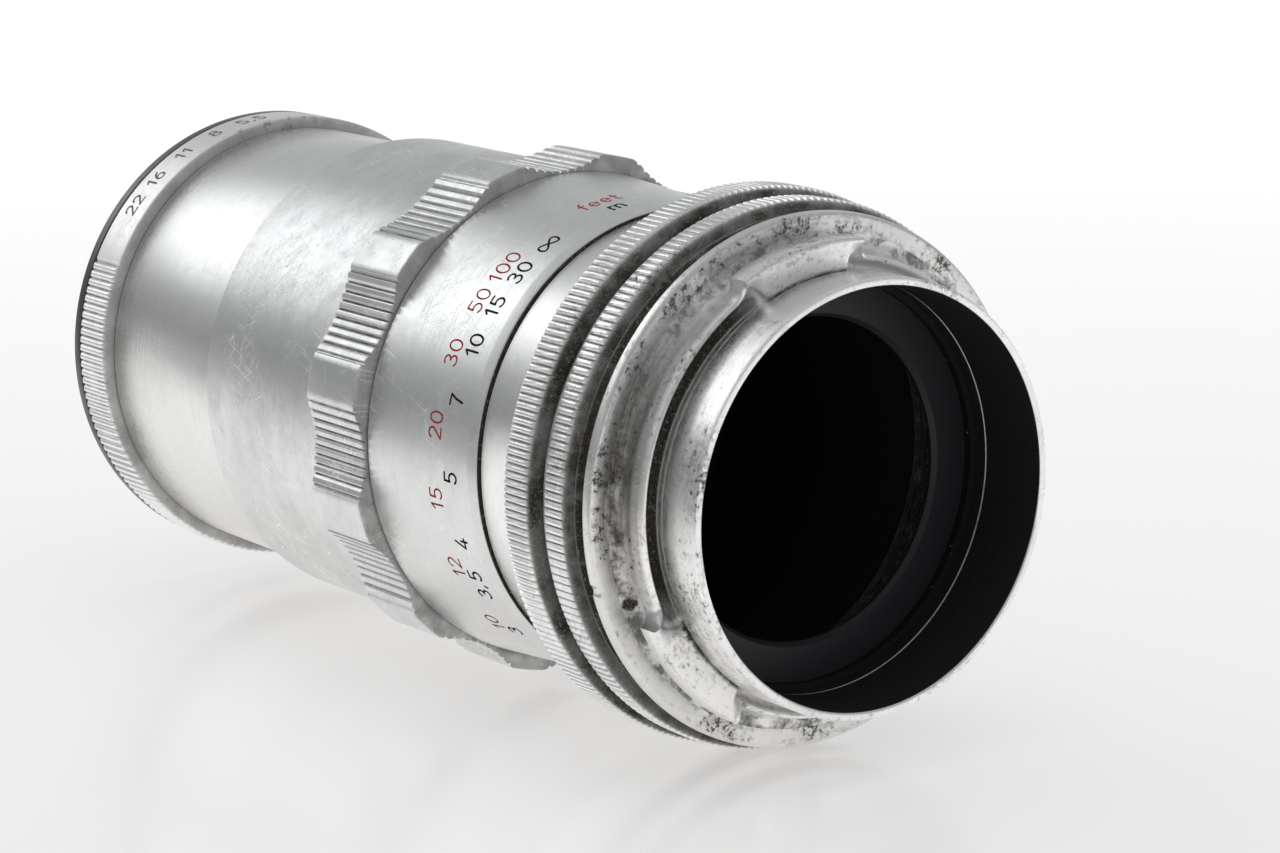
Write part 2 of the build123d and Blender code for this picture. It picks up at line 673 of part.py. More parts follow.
with BuildPart() as front_spacer:
    with BuildSketch(Plane.XY):
        Polygon((17.4, 103.4), (GLASS_R, 103.4), (GLASS_R, 104.6), (17.4, 104.45), align=None)
    revolve(axis=Axis.Y)
finish(front_spacer, "front_spacer")

with BuildPart() as front_retaining_ring:
    with BuildSketch(Plane.XY):
        Polygon((17.75, 107.5), (GLASS_R, 107.2), (GLASS_R, 109.0), (17.75, 109.0), align=None)
    revolve(axis=Axis.Y)
finish(front_retaining_ring, "front_retaining_ring")

# ---- plain black cover ring round the front glass ----
with BuildPart() as front_cover_ring:
    with BuildSketch(Plane.XY):
        Polygon(
            (18.1, CELL_END + 0.05), (FRONT_FLANGE_R, CELL_END + 0.05), (FRONT_FLANGE_R, 112.5),
            (22.0, 112.5), (18.1, 112.0),
            align=None,
        )
    revolve(axis=Axis.Y)
finish(front_cover_ring, "front_cover_ring")

# ---- black front ring with the filter thread's bore ----
with BuildPart() as front_ring:
    with BuildSketch(Plane.XY) as profile:
        Polygon(
            (FRONT_FLANGE_R + 0.02, 111.9), (23.25, 111.9), (23.25, FRONT_RING_START),
            (APERTURE_R, FRONT_RING_START), (APERTURE_R, FRONT_RING_END), (FILTER_R + 0.7, FRONT_RING_END),
            (FILTER_R, FRONT_RING_END - 0.7), (FILTER_R, 112.6), (FRONT_FLANGE_R + 0.02, 112.6),
            align=None,
        )
        fillet(profile.vertices().group_by(Axis.X)[-1], 0.25)
    revolve(axis=Axis.Y)
finish(front_ring, "front_ring")

# ---- rear cell and its glass ----
REAR_GLASS_R = REAR_BORE_R - 0.05
with BuildPart() as rear_cell:
    with BuildSketch(Plane.XY):
        Polygon(
            (14.6, REAR_CELL_START), (19.5, REAR_CELL_START), (LENS_BARREL_R, REAR_CELL_START + 1.2),
            (LENS_BARREL_R, LENS_BARREL_START - 0.05), (LENS_BARREL_BORE_R - 0.03, LENS_BARREL_START - 0.05),
            (LENS_BARREL_BORE_R - 0.03, REAR_CELL_END), (REAR_BORE_R, REAR_CELL_END),
            (REAR_BORE_R, REAR_CELL_START + 1.2), (14.6, REAR_CELL_START + 1.2),
            align=None,
        )
    revolve(axis=Axis.Y)
finish(rear_cell, "rear_cell")

with BuildPart() as rear_element_1:
    with BuildSketch(Plane.XY):
        with BuildLine():
            rear = RadiusArc((0, 58.0), (REAR_GLASS_R, 58.0 - sag(50, REAR_GLASS_R)), 50)
            front = RadiusArc((0, 60.4), (REAR_GLASS_R, 60.4 + sag(80, REAR_GLASS_R)), -80)
            Line(rear @ 1, front @ 1)
            Line(front @ 0, rear @ 0)
        make_face()
    revolve(axis=Axis.Y)
finish(rear_element_1, "rear_element_1")

with BuildPart() as rear_element_2:
    with BuildSketch(Plane.XY):
        with BuildLine():
            front = RadiusArc((0, 55.1), (REAR_GLASS_R, 55.1 - sag(60, REAR_GLASS_R)), 60)
            Polyline(front @ 1, (REAR_GLASS_R, 51.25), (0, 51.25), front @ 0)
        make_face()
    revolve(axis=Axis.Y)
finish(rear_element_2, "rear_element_2")

with BuildPart() as rear_spacer:
    with BuildSketch(Plane.XY):
        Polygon((15.0, 53.3), (REAR_GLASS_R, 53.05), (REAR_GLASS_R, 55.2), (15.0, 55.4), align=None)
    revolve(axis=Axis.Y)
finish(rear_spacer, "rear_spacer")

with BuildPart() as rear_retaining_ring:
    with BuildSketch(Plane.XY):
        Polygon((14.8, 62.1), (REAR_GLASS_R, 62.1), (REAR_GLASS_R, 63.3), (14.8, 63.3), align=None)
    revolve(axis=Axis.Y)
finish(rear_retaining_ring, "rear_retaining_ring")
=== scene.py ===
from math import atan2, cos, pi, radians, sin, sqrt

import bpy
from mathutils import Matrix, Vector


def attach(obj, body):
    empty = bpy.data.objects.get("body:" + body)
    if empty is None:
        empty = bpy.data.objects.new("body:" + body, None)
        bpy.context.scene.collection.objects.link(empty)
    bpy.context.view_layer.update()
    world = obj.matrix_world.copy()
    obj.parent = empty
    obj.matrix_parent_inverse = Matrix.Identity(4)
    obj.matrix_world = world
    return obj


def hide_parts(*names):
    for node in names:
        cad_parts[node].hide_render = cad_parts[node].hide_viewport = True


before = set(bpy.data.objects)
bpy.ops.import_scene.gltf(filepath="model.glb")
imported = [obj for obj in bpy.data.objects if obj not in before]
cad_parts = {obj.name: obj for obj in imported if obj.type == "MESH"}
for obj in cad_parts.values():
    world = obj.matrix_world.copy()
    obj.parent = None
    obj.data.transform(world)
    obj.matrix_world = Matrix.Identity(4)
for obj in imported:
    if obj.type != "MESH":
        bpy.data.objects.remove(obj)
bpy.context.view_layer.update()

MM = 0.001
MEAN_R = 25.0                   # radius in mm at which angles are turned into lengths round the lens
BLACK = (0.0, 0.0, 0.0, 1.0)


# ---------------------------------------------------------------- node graphs

class Graph:
    """A small builder for the node tree of one material."""

    def __init__(self, name):
        self.material = bpy.data.materials.new(name)
        self.material.use_nodes = True
        self.tree = self.material.node_tree
        self.shader = self.tree.nodes["Principled BSDF"]

    def node(self, kind, inputs=(), **settings):
        node = self.tree.nodes.new(kind)
        for key, value in settings.items():
            setattr(node, key, value)
        for index, value in enumerate(inputs):
            if value is not None:
                self.set(node.inputs[index], value)
        return node

    def set(self, socket, value):
        if isinstance(value, bpy.types.NodeSocket):
            self.tree.links.new(value, socket)
        else:
            socket.default_value = value

    def put(self, name, value):
        """Set or link one input of the shader."""
        self.set(self.shader.inputs[name], value)

    def math(self, operation, *inputs, clamp=False):
        return self.node("ShaderNodeMath", inputs, operation=operation, use_clamp=clamp).outputs[0]

    def times(self, first, *rest):
        for value in rest:
            first = self.math("MULTIPLY", first, value)
        return first

    def most(self, first, *rest):
        for value in rest:
            first = self.math("MAXIMUM", first, value)
        return first

    def plus(self, base, value, share):
        """base + value * share"""
        return self.math("MULTIPLY_ADD", value, share, base)

    def far(self, value, centre):
        """Distance of value from centre."""
        return self.math("ABSOLUTE", self.math("SUBTRACT", value, centre))

    def without(self, value, mask):
        """value where mask is 0, nothing where mask is 1."""
        return self.times(value, self.math("SUBTRACT", 1.0, mask, clamp=True))

    def band(self, value, low, high, to_low=0.0, to_high=1.0):
        """Smooth step of value from low to high."""
        return self.node(
            "ShaderNodeMapRange", (value, low, high, to_low, to_high), interpolation_type="SMOOTHSTEP",
        ).outputs[0]

    def mix(self, factor, a, b):
        node = self.node("ShaderNodeMix", data_type="RGBA", clamp_factor=True)
        self.set(node.inputs[0], factor)
        self.set(node.inputs[6], a)
        self.set(node.inputs[7], b)
        return node.outputs[2]

    def lerp(self, factor, a, b):
        node = self.node("ShaderNodeMix", data_type="FLOAT", clamp_factor=True)
        self.set(node.inputs[0], factor)
        self.set(node.inputs[2], a)
        self.set(node.inputs[3], b)
        return node.outputs[0]

    def vector(self, x, y, z):
        return self.node("ShaderNodeCombineXYZ", (x, y, z)).outputs[0]

    def noise(self, vector, scale, detail=4.0, roughness=0.55):
        node = self.node("ShaderNodeTexNoise", noise_dimensions="3D")
        self.set(node.inputs["Vector"], vector)
        node.inputs["Scale"].default_value = scale
        node.inputs["Detail"].default_value = detail
        node.inputs["Roughness"].default_value = roughness
        return node.outputs["Fac"]

    def axes(self):
        """Millimetres along the axis, radius in mm, angle from the top in degrees, and arc length in mm."""
        point = self.node("ShaderNodeTexCoord").outputs["Object"]
        parts = self.node("ShaderNodeSeparateXYZ", (point,)).outputs
        self.x, self.y, self.z = (self.times(part, 1.0 / MM) for part in parts)
        self.r = self.math("SQRT", self.math("ADD", self.times(self.x, self.x), self.times(self.z, self.z)))
        turn = self.math("ARCTAN2", self.x, self.z)
        self.angle = self.times(turn, 180.0 / pi)
        self.arc = self.times(turn, MEAN_R)
        self.mm = self.vector(self.x, self.y, self.z)

    def turned(self, pitch, along=0.05):
        """Fine lathe marks: a value that changes along the axis and hardly round it."""
        place = self.vector(
            self.times(self.x, along), self.times(self.y, 1.0 / pitch), self.times(self.z, along),
        )
        return self.noise(place, 1.0, detail=3.0, roughness=0.7)

    def scratches(self, tilt, width, length, amount, seed):
        """Straight fine scratches running at an angle to the axis."""
        c, s = cos(radians(tilt)), sin(radians(tilt))
        along = self.math("ADD", self.times(self.arc, c), self.times(self.y, s))
        across = self.math("SUBTRACT", self.times(self.y, c), self.times(self.arc, s))
        place = self.vector(
            self.plus(seed, along, 1.0 / length), self.times(across, 1.0 / width), self.times(self.r, 0.02),
        )
        return self.band(self.noise(place, 1.0, detail=1.0, roughness=0.4), amount, amount + 0.05)

    def curl(self, size, seed):
        """Short curved scratches: parts of circles about size mm apart."""
        place = self.vector(self.plus(seed, self.arc, 1.0 / size), self.times(self.y, 1.0 / size), seed)
        cells = self.node("ShaderNodeTexVoronoi", voronoi_dimensions="3D")
        self.set(cells.inputs["Vector"], place)
        cells.inputs["Scale"].default_value = 1.0
        ring = self.band(self.far(cells.outputs["Distance"], 0.42), 0.085 / size, 0.03 / size)
        return self.times(ring, self.band(self.noise(place, 2.3, detail=1.0), 0.60, 0.66))

    def bump(self, height, distance, strength):
        node = self.node("ShaderNodeBump")
        node.inputs["Strength"].default_value = strength
        node.inputs["Distance"].default_value = distance
        self.set(node.inputs["Height"], height)
        return node.outputs[0]


def dimmed(colour, share):
    return tuple(share * c for c in colour[:3]) + (1.0,)


def bare(level):
    """The slightly warm grey of bare aluminium."""
    return (level, level - 0.005, level - 0.015, 1.0)


LATHE_LINE = (0.58, 0.575, 0.565, 1.0)
FRESH_SCUFF = (0.97, 0.97, 0.96, 1.0)
FRESH_CURL = (0.93, 0.93, 0.92, 1.0)
PIT = (0.16, 0.14, 0.11, 1.0)
# Darker tone painted as shade on the left of the flange and tail
LEFT_SHADE_TONE = (0.135, 0.126, 0.118, 1.0)
DULL_STAIN = (0.33, 0.322, 0.305, 1.0)
DARK_STAIN = (0.075, 0.068, 0.058, 1.0)
# Dirt colours; the same colours also paint shade in grooves, gaps and corners
WET_DIRT_AND_SHADE = (0.012, 0.010, 0.007, 1.0)
DRY_DIRT_AND_SHADE = (0.085, 0.072, 0.052, 1.0)
BORE_PAINT = (0.012, 0.012, 0.0125, 1.0)

# Families of scuffs: tilt in degrees, width and length in mm, threshold, seed
SCUFFS = ((12.0, 0.12, 5.0, 0.66, 3.1), (-34.0, 0.10, 4.0, 0.67, 11.7), (71.0, 0.12, 6.0, 0.67, 23.3),
          (-62.0, 0.14, 3.0, 0.68, 41.9))


def aluminium(
    name, base=bare(0.80), rough=(0.20, 0.34), lathe=0.35, pitch=0.16, scuffs=0.5, stains=0.0, dirt_and_shade=None,
    pits=0.0, paint_bore=None, smudge=0.5, left_shade=None, curls=0.0, rim=None,
):
    """Worn bare aluminium. The dirt mask, which also carries painted shade, and the mask of painted shade on
    one side are functions of the graph that return a 0 to 1 mask.
    """
    g = Graph(name)
    g.axes()
    lines = g.turned(pitch)
    cloud = g.noise(g.mm, 0.09, detail=5.0, roughness=0.6)
    fine = g.noise(g.mm, 1.6, detail=4.0, roughness=0.65)
    patches = g.band(g.noise(g.mm, 0.42, detail=6.0, roughness=0.7), 0.42, 0.68)
    colour = g.mix(g.times(g.band(cloud, 0.3, 0.7), smudge), base, dimmed(base, 0.86))
    colour = g.mix(g.times(patches, 0.5 * smudge), colour, dimmed(base, 0.80))
    colour = g.mix(g.band(lines, 0.35, 0.65, 0.0, 0.12), colour, LATHE_LINE)
    roughness = g.band(cloud, 0.25, 0.75, rough[0], rough[1])
    roughness = g.math("ADD", roughness, g.band(lines, 0.3, 0.7, -0.02, 0.03))
    roughness = g.plus(roughness, patches, 0.07 * smudge)
    roughness = g.math("ADD", roughness, g.band(fine, 0.3, 0.8, -0.02, 0.05))
    height = g.plus(g.times(lines, lathe), fine, 0.008)
    if scuffs:
        where = g.band(g.noise(g.mm, 0.16, detail=2.0), 0.42, 0.62)
        marks = g.times(g.most(*(g.scratches(*family) for family in SCUFFS)), where, scuffs)
        colour = g.mix(marks, colour, FRESH_SCUFF)
        roughness = g.plus(roughness, marks, 0.22)
        height = g.plus(height, marks, -0.25)
    if curls:
        curl = g.times(g.most(g.curl(5.5, 2.0), g.curl(3.4, 9.0)), curls)
        colour = g.mix(curl, colour, FRESH_CURL)
        roughness = g.plus(roughness, curl, 0.12)
        height = g.plus(height, curl, -0.15)
    if pits:
        pit = g.times(g.band(g.noise(g.mm, 2.6, detail=3.0, roughness=0.7), 0.66, 0.74), pits)
        colour = g.mix(pit, colour, PIT)
        roughness = g.plus(roughness, pit, 0.35)
        height = g.plus(height, pit, -2.0)
    # Painted shade: a darker tone over one side
    if left_shade is not None:
        shade_veil = left_shade(g)
        colour = g.mix(shade_veil, colour, LEFT_SHADE_TONE)
        roughness = g.plus(roughness, shade_veil, 0.08)
    metal = 1.0
    if stains:
        dull, dark = stain_masks(g, stains, rim)
        colour = g.mix(g.times(dull, 0.52), colour, DULL_STAIN)
        colour = g.mix(g.times(dark, 0.90), colour, DARK_STAIN)
        roughness = g.plus(roughness, dull, 0.10)
        roughness = g.plus(roughness, dark, 0.22)
        height = g.plus(height, dark, -1.0)
        metal = g.math("SUBTRACT", 1.0, g.times(dark, 0.55))
    # Dirt colours over the mask; where the mask is painted shade, this darkens grooves, gaps and corners
    if dirt_and_shade is not None:
        speckle = g.noise(g.mm, 3.0, detail=5.0, roughness=0.7)
        mask = g.times(dirt_and_shade(g), g.band(speckle, 0.25, 0.5, 0.6, 1.0))
        colour = g.mix(mask, colour, g.mix(g.band(speckle, 0.40, 0.72), WET_DIRT_AND_SHADE, DRY_DIRT_AND_SHADE))
        roughness = g.lerp(mask, roughness, 0.82)
        metal = g.without(metal, mask)
        height = g.plus(height, g.times(mask, speckle), 1.2)
    if paint_bore is not None:
        inside = g.band(g.r, paint_bore, paint_bore - 0.06)
        colour = g.mix(inside, colour, BORE_PAINT)
        roughness = g.lerp(inside, roughness, 0.46)
        metal = g.without(metal, inside)
    g.put("Base Color", colour)
    g.put("Roughness", roughness)
    g.put("Metallic", metal)
    g.put("Specular IOR Level", 0.2)
    g.put("Normal", g.bump(height, 0.00006, 0.55))
    g.put("Tangent", g.node("ShaderNodeTangent", direction_type="RADIAL", axis="Y").outputs[0])
    g.put("Anisotropic", 0.6)
    g.put("Anisotropic Rotation", 0.25)
    return g.material


def stain_masks(g, stains, rim):
    """Dull patches drawn out into rings, and dark spots in their middle. Fewer near radius rim."""
    wide = g.noise(g.mm, 0.13, detail=2.0)
    spots = g.noise(g.mm, 1.45, detail=6.0, roughness=0.72)
    crumbs = g.noise(g.mm, 3.4, detail=3.0, roughness=0.65)
    rings = g.vector(g.times(g.x, 0.30), g.plus(g.times(g.r, 2.6), g.y, 1.6), g.times(g.z, 0.30))
    streaks = g.noise(rings, 1.0, detail=5.0, roughness=0.65)
    field = g.plus(g.plus(g.times(spots, 0.8), crumbs, 0.20), wide, 0.55)
    field = g.math("ADD", field, 0.10 * (stains - 0.5))
    if rim is not None:
        field = g.math("SUBTRACT", field, g.band(g.r, rim - 0.5, rim - 0.1, 0.0, 0.10))
    dull = g.band(g.plus(field, g.math("SUBTRACT", streaks, 0.5), 0.35), 0.83, 0.98)
    return dull, g.band(field, 0.955, 1.01)


def painted(name, colour, rough=0.5, grain=0.4, chips=0.0, scale=2.2, gloss=0.35, dusty=1.0):
    """Matte or satin black lacquer with turning marks, dust and a few worn spots."""
    g = Graph(name)
    g.axes()
    lines = g.turned(0.3, 0.03)
    dust = g.noise(g.mm, scale, detail=6.0, roughness=0.7)
    cloud = g.noise(g.mm, 0.2, detail=3.0)
    pale = tuple(c * (1.0 + 1.2 * dusty) + 0.012 * dusty for c in colour[:3]) + (1.0,)
    tint = g.mix(g.band(dust, 0.52, 0.78, 0.0, 0.6), colour, pale)
    tint = g.mix(g.band(lines, 0.45, 0.8, 0.0, 0.25), tint, pale)
    roughness = g.band(cloud, 0.3, 0.7, rough - 0.06, rough + 0.08)
    roughness = g.math("ADD", roughness, g.band(dust, 0.4, 0.8, 0.0, 0.08))
    if chips:
        worn = g.times(g.band(g.noise(g.mm, 1.3, detail=5.0, roughness=0.65), 0.66, 0.72), chips)
        tint = g.mix(worn, tint, (0.55, 0.54, 0.52, 1.0))
        g.put("Metallic", worn)
    g.put("Base Color", tint)
    g.put("Roughness", roughness)
    g.put("Specular IOR Level", gloss)
    g.put("Normal", g.bump(g.plus(g.times(dust, 0.3), lines, grain), 0.00008, 0.5))
    return g.material


def ink(name, colour, dusty):
    """Matte paint in an engraved digit."""
    return painted(name, colour, rough=0.85, grain=0.05, scale=5.0, gloss=0.02, dusty=dusty)


def coated_glass(name, tint, ior, dust=0.0):
    """Optical glass with a faint cloud in its tint and, if dust is set, dull specks."""
    g = Graph(name)
    g.axes()
    specks = g.noise(g.mm, 2.4, detail=6.0, roughness=0.7)
    cloud = g.noise(g.mm, 0.15, detail=3.0)
    g.put("Base Color", g.mix(g.band(cloud, 0.3, 0.7), tint, (0.97, 0.98, 1.0, 1.0)))
    g.put("Roughness", g.band(specks, 0.68, 0.78, 0.0, dust) if dust else 0.0)
    g.put("Transmission Weight", 1.0)
    g.put("IOR", ior)
    g.put("Normal", g.bump(specks, 0.000004, 0.1))
    return g.material


# ---------------------------------------------------------------- turned pieces

def ease(points, radius=0.08, steps=2):
    """A closed profile with every corner eased by a small arc. A point's third number is its own radius."""
    out = []
    for index, point in enumerate(points):
        here = Vector(point[:2])
        size = point[2] if len(point) > 2 else radius
        before = Vector(points[index - 1][:2]) - here
        after = Vector(points[(index + 1) % len(points)][:2]) - here
        reach = min(size, before.length * 0.45, after.length * 0.45)
        first = here + before.normalized() * reach
        last = here + after.normalized() * reach
        for step in range(steps + 1):
            t = step / steps
            out.append(tuple(first * (1 - t) ** 2 + here * 2 * t * (1 - t) + last * t ** 2))
    return out


def even(segments):
    return [360.0 * i / segments for i in range(segments)]


def wrapped(angle):
    """The same angle between -180 and 180 degrees."""
    return (angle + 180.0) % 360.0 - 180.0


def on_lens(radius, y, angle):
    """The point in metres at a radius and station in mm and an angle in degrees from the top."""
    turn = radians(angle)
    return (radius * sin(turn) * MM, y * MM, radius * cos(turn) * MM)


def new_object(name, vertices, faces, material, body, slot, sharp):
    mesh = bpy.data.meshes.new(name)
    mesh.from_pydata(vertices, [], faces)
    mesh.validate()
    mesh.shade_smooth()
    mesh.set_sharp_from_angle(angle=radians(sharp))
    mesh.materials.append(material)
    obj = bpy.data.objects.new(name, mesh)
    bpy.context.scene.collection.objects.link(obj)
    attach(obj, body)
    return obj


def rings_to_faces(total, rows, outward):
    """Quads between total closed sections of rows points each, all round the axis."""
    faces = []
    for i in range(total):
        a, b = i * rows, ((i + 1) % total) * rows
        for j in range(rows):
            k = (j + 1) % rows
            quad = (a + j, a + k, b + k, b + j)
            faces.append(quad if outward else quad[::-1])
    return faces


def lathe(name, profile, angles, material, body, slot, shape=None, sharp=32.0):
    """Turn a closed profile of (radius, station) in mm. shape(r, y, angle) may change the radius."""
    vertices = [
        on_lens(shape(r, y, angle) if shape else r, y, angle) for angle in angles for r, y in profile
    ]
    area = sum(a[0] * b[1] - b[0] * a[1] for a, b in zip([profile[-1]] + profile[:-1], profile))
    faces = rings_to_faces(len(angles), len(profile), area < 0)
    return new_object(name, vertices, faces, material, body, slot, sharp)


# ---------------------------------------------------------------- dirt and painted shade masks

PIN_HOLE_R = 24.15
PIN_HOLE_ANGLE = radians(-112.0)
SCALLOP_PHASE = -2.6            # middle of one land of the grip, in degrees
SCALLOP_STEP = 30.0
SCALLOP_HALF = 10.0
RIB_PITCH = 2.0 * SCALLOP_HALF / 9.6


def groove_dirt_and_shade(stations, reach, r_top=99.0):
    """Dirt and painted shade in grooves between parts, at the given (station, half width) pairs, below the
    radius r_top.
    """
    def mask(g):
        grooves = (g.band(g.far(g.y, station), width + reach, width * 0.6) for station, width in stations)
        return g.times(g.most(*grooves), g.band(g.r, r_top, r_top - 0.4))
    return mask


def rib_grime(outer, depth, y0, y1, amount=0.9, end_dirt=1.0):
    """Dirt in the valleys of a straight knurl between stations y0 and y1, and on its two end faces."""
    def mask(g):
        patch = g.band(g.noise(g.mm, 0.30, detail=4.0, roughness=0.6), 0.35, 0.65)
        valley = g.band(g.r, outer - depth * 0.45, outer - depth * 0.95)
        valley = g.times(valley, g.plus(amount - 0.5, patch, 0.5))
        ends = g.most(g.band(g.y, y0 + 0.5, y0), g.band(g.y, y1 - 0.5, y1, 0.0, 0.3))
        flank = g.times(ends, g.band(g.r, outer, outer - 0.35), g.plus(end_dirt - 0.2, patch, 0.2))
        return g.most(valley, flank)
    return mask


def pin_hole_dirt_and_shade(g):
    """The locking-pin hole in the flange face, painted on as a dark ragged disc of dirt and painted shade.
    """
    dx = g.math("SUBTRACT", g.x, PIN_HOLE_R * sin(PIN_HOLE_ANGLE))
    dz = g.math("SUBTRACT", g.z, PIN_HOLE_R * cos(PIN_HOLE_ANGLE))
    away = g.math("SQRT", g.math("ADD", g.times(dx, dx), g.times(dz, dz)))
    ragged = g.plus(away, g.noise(g.mm, 1.8, detail=4.0, roughness=0.7), 1.1)
    return g.times(g.band(ragged, 1.50, 1.05), g.band(g.y, 9.0, 9.3))


def waist_dirt_and_shade(g):
    """The concave waist of the flange is full of dirt and its rim is bare; its face is bare but for painted
    shade next to the collar and the painted pin hole.
    """
    patch = g.noise(g.mm, 0.5, detail=5.0, roughness=0.65)
    in_waist = g.times(g.band(g.y, 11.25, 11.7), g.band(g.r, 26.85, 26.2))
    in_waist = g.times(in_waist, g.band(patch, 0.25, 0.5, 0.78, 1.0))
    # Painted shade on the flange face in the corner by the collar
    corner = g.times(g.band(g.r, 25.6, 24.6), g.band(patch, 0.46, 0.66, 0.0, 0.7))
    return g.most(in_waist, corner, pin_hole_dirt_and_shade(g))


def flange_left_shade(g):
    """Painted shade: a darker tone on the left of the flange face, strongest by the collar, in thin rings.
    """
    rings = g.vector(g.times(g.x, 0.22), g.times(g.r, 2.2), g.times(g.z, 0.22))
    rings = g.band(g.noise(rings, 1.0, detail=5.0, roughness=0.65), 0.3, 0.65, 0.62, 1.0)
    on_left = g.band(g.far(g.angle, -78.0), 46.0, 12.0)
    return g.times(on_left, g.band(g.r, 26.65, 25.4), 0.95, g.band(g.y, 8.0, 8.8), rings)


def tail_dirt_and_shade(g):
    """Brown dirt in the seam of lip and lugs, a black groove in the ridge, and painted shade in streaks at
    the ridge's foot.
    """
    patch = g.noise(g.mm, 0.4, detail=5.0, roughness=0.65)
    seam = g.times(g.band(g.y, 5.25, 5.45), g.band(g.y, 6.1, 5.7), g.band(g.r, 22.3, 21.75))
    seam = g.times(seam, g.band(patch, 0.35, 0.55, 0.2, 0.9))
    # Painted shade: streaks darken the ridge's foot
    foot = g.times(g.band(g.y, 8.6, 9.8), g.band(patch, 0.42, 0.62, 0.0, 0.8))
    groove = g.times(g.band(g.y, 6.45, 6.95), g.band(g.r, 22.75, 22.45))
    groove = g.times(groove, g.band(g.far(g.angle, -72.0), 56.0, 36.0, 0.25, 1.0))
    return g.most(seam, foot, groove, pin_hole_dirt_and_shade(g))


def scale_gap_shade_and_dirt(g):
    """Painted shade: black down in the gap behind the scale ring. Dirt and painted shade along its front
    edge.
    """
    gap_shade = g.times(g.band(g.y, 33.2, 33.0), g.band(g.r, 24.62, 24.50))
    return g.most(gap_shade, groove_dirt_and_shade([(51.1, 0.1)], 0.35)(g))


def aperture_grime(g):
    """Light dirt in the ribs and on the rear edge, and brown marks at the top of that edge."""
    worn = rib_grime(26.15, 0.42, 108.0, 113.8, 0.45, 0.55)(g)
    at_top = g.band(g.far(g.angle, -6.0), 20.0, 8.0)
    spots = g.band(g.noise(g.mm, 0.8, detail=5.0, roughness=0.7), 0.48, 0.62)
    return g.most(worn, g.times(at_top, g.band(g.y, 109.3, 108.5), spots, 0.75))


def sleeve_grime(g):
    """Dirt in the ribs of the scallops, on the band's rear face and in the seams on both sides of it."""
    patch = g.noise(g.mm, 0.35, detail=4.0, roughness=0.6)
    seam = g.times(g.band(g.y, 51.9, 51.3), g.band(g.r, 27.0, 26.3), g.band(patch, 0.35, 0.65, 0.15, 0.6))
    front = g.times(g.band(g.far(g.y, 61.3), 0.35, 0.1), g.band(patch, 0.4, 0.6), 0.7)
    on_band = g.times(g.band(g.y, 51.1, 51.3), g.band(g.y, 61.2, 61.0))
    half_step = SCALLOP_STEP / 2
    local = g.math("SUBTRACT", g.angle, SCALLOP_PHASE - half_step)
    local = g.math("SUBTRACT", g.math("FLOORED_MODULO", local, SCALLOP_STEP), half_step)
    inside = g.band(g.math("ABSOLUTE", local), SCALLOP_HALF + 0.2, SCALLOP_HALF - 0.4)
    share = g.math("DIVIDE", g.math("ADD", local, SCALLOP_HALF - 0.3 * RIB_PITCH), RIB_PITCH)
    valley = g.band(g.far(g.math("FRACT", share), 0.5), 0.34, 0.47)
    ribs = g.times(on_band, inside, valley, g.band(patch, 0.3, 0.65, 0.25, 0.8))
    face = g.times(g.band(g.y, 51.42, 51.2), g.band(patch, 0.3, 0.7, 0.22, 0.5))
    return g.most(seam, front, ribs, face)


# ---------------------------------------------------------------- materials

alu_sleeve = aluminium(
    "alu_sleeve", base=(0.755, 0.755, 0.75, 1.0), rough=(0.31, 0.37), scuffs=1.0, lathe=0.05, pits=0.35,
    dirt_and_shade=sleeve_grime, curls=0.45, smudge=0.85,
)
# Dirt and painted shade in the groove by the aperture ring
alu_head = aluminium(
    "alu_head", rough=(0.27, 0.31), scuffs=0.12, lathe=0.05, pitch=0.22, smudge=0.25,
    dirt_and_shade=groove_dirt_and_shade([(108.1, 0.1)], 0.5, 25.2),
)
# Painted shade in the gap behind the scale ring, dirt and painted shade at its front edge
alu_scale = aluminium(
    "alu_scale", base=(0.77, 0.77, 0.765, 1.0), rough=(0.29, 0.35), scuffs=0.7, lathe=0.05, smudge=0.35,
    curls=0.5, dirt_and_shade=scale_gap_shade_and_dirt,
)
# Dirt and painted shade in the grooves at both ends of the barrel
alu_barrel = aluminium(
    "alu_barrel", base=bare(0.89), rough=(0.16, 0.24), scuffs=0.15, lathe=0.2, smudge=0.3,
    dirt_and_shade=groove_dirt_and_shade([(22.7, 0.1), (32.55, 0.05)], 0.25), paint_bore=21.85,
)
alu_lock = aluminium(
    "alu_lock", base=bare(0.93), rough=(0.30, 0.42), scuffs=0.3, lathe=0.1, stains=0.5,
    dirt_and_shade=rib_grime(28.5, 0.42, 18.4, 22.7, 0.75),
)
alu_grip = aluminium(
    "alu_grip", base=bare(0.93), rough=(0.30, 0.42), scuffs=0.3, lathe=0.1, stains=0.75,
    dirt_and_shade=rib_grime(27.9, 0.40, 13.3, 16.7, 0.85),
)
alu_aperture = aluminium(
    "alu_aperture", base=bare(0.93), rough=(0.36, 0.46), scuffs=0.5, lathe=0.12, pits=0.4,
    dirt_and_shade=aperture_grime,
)
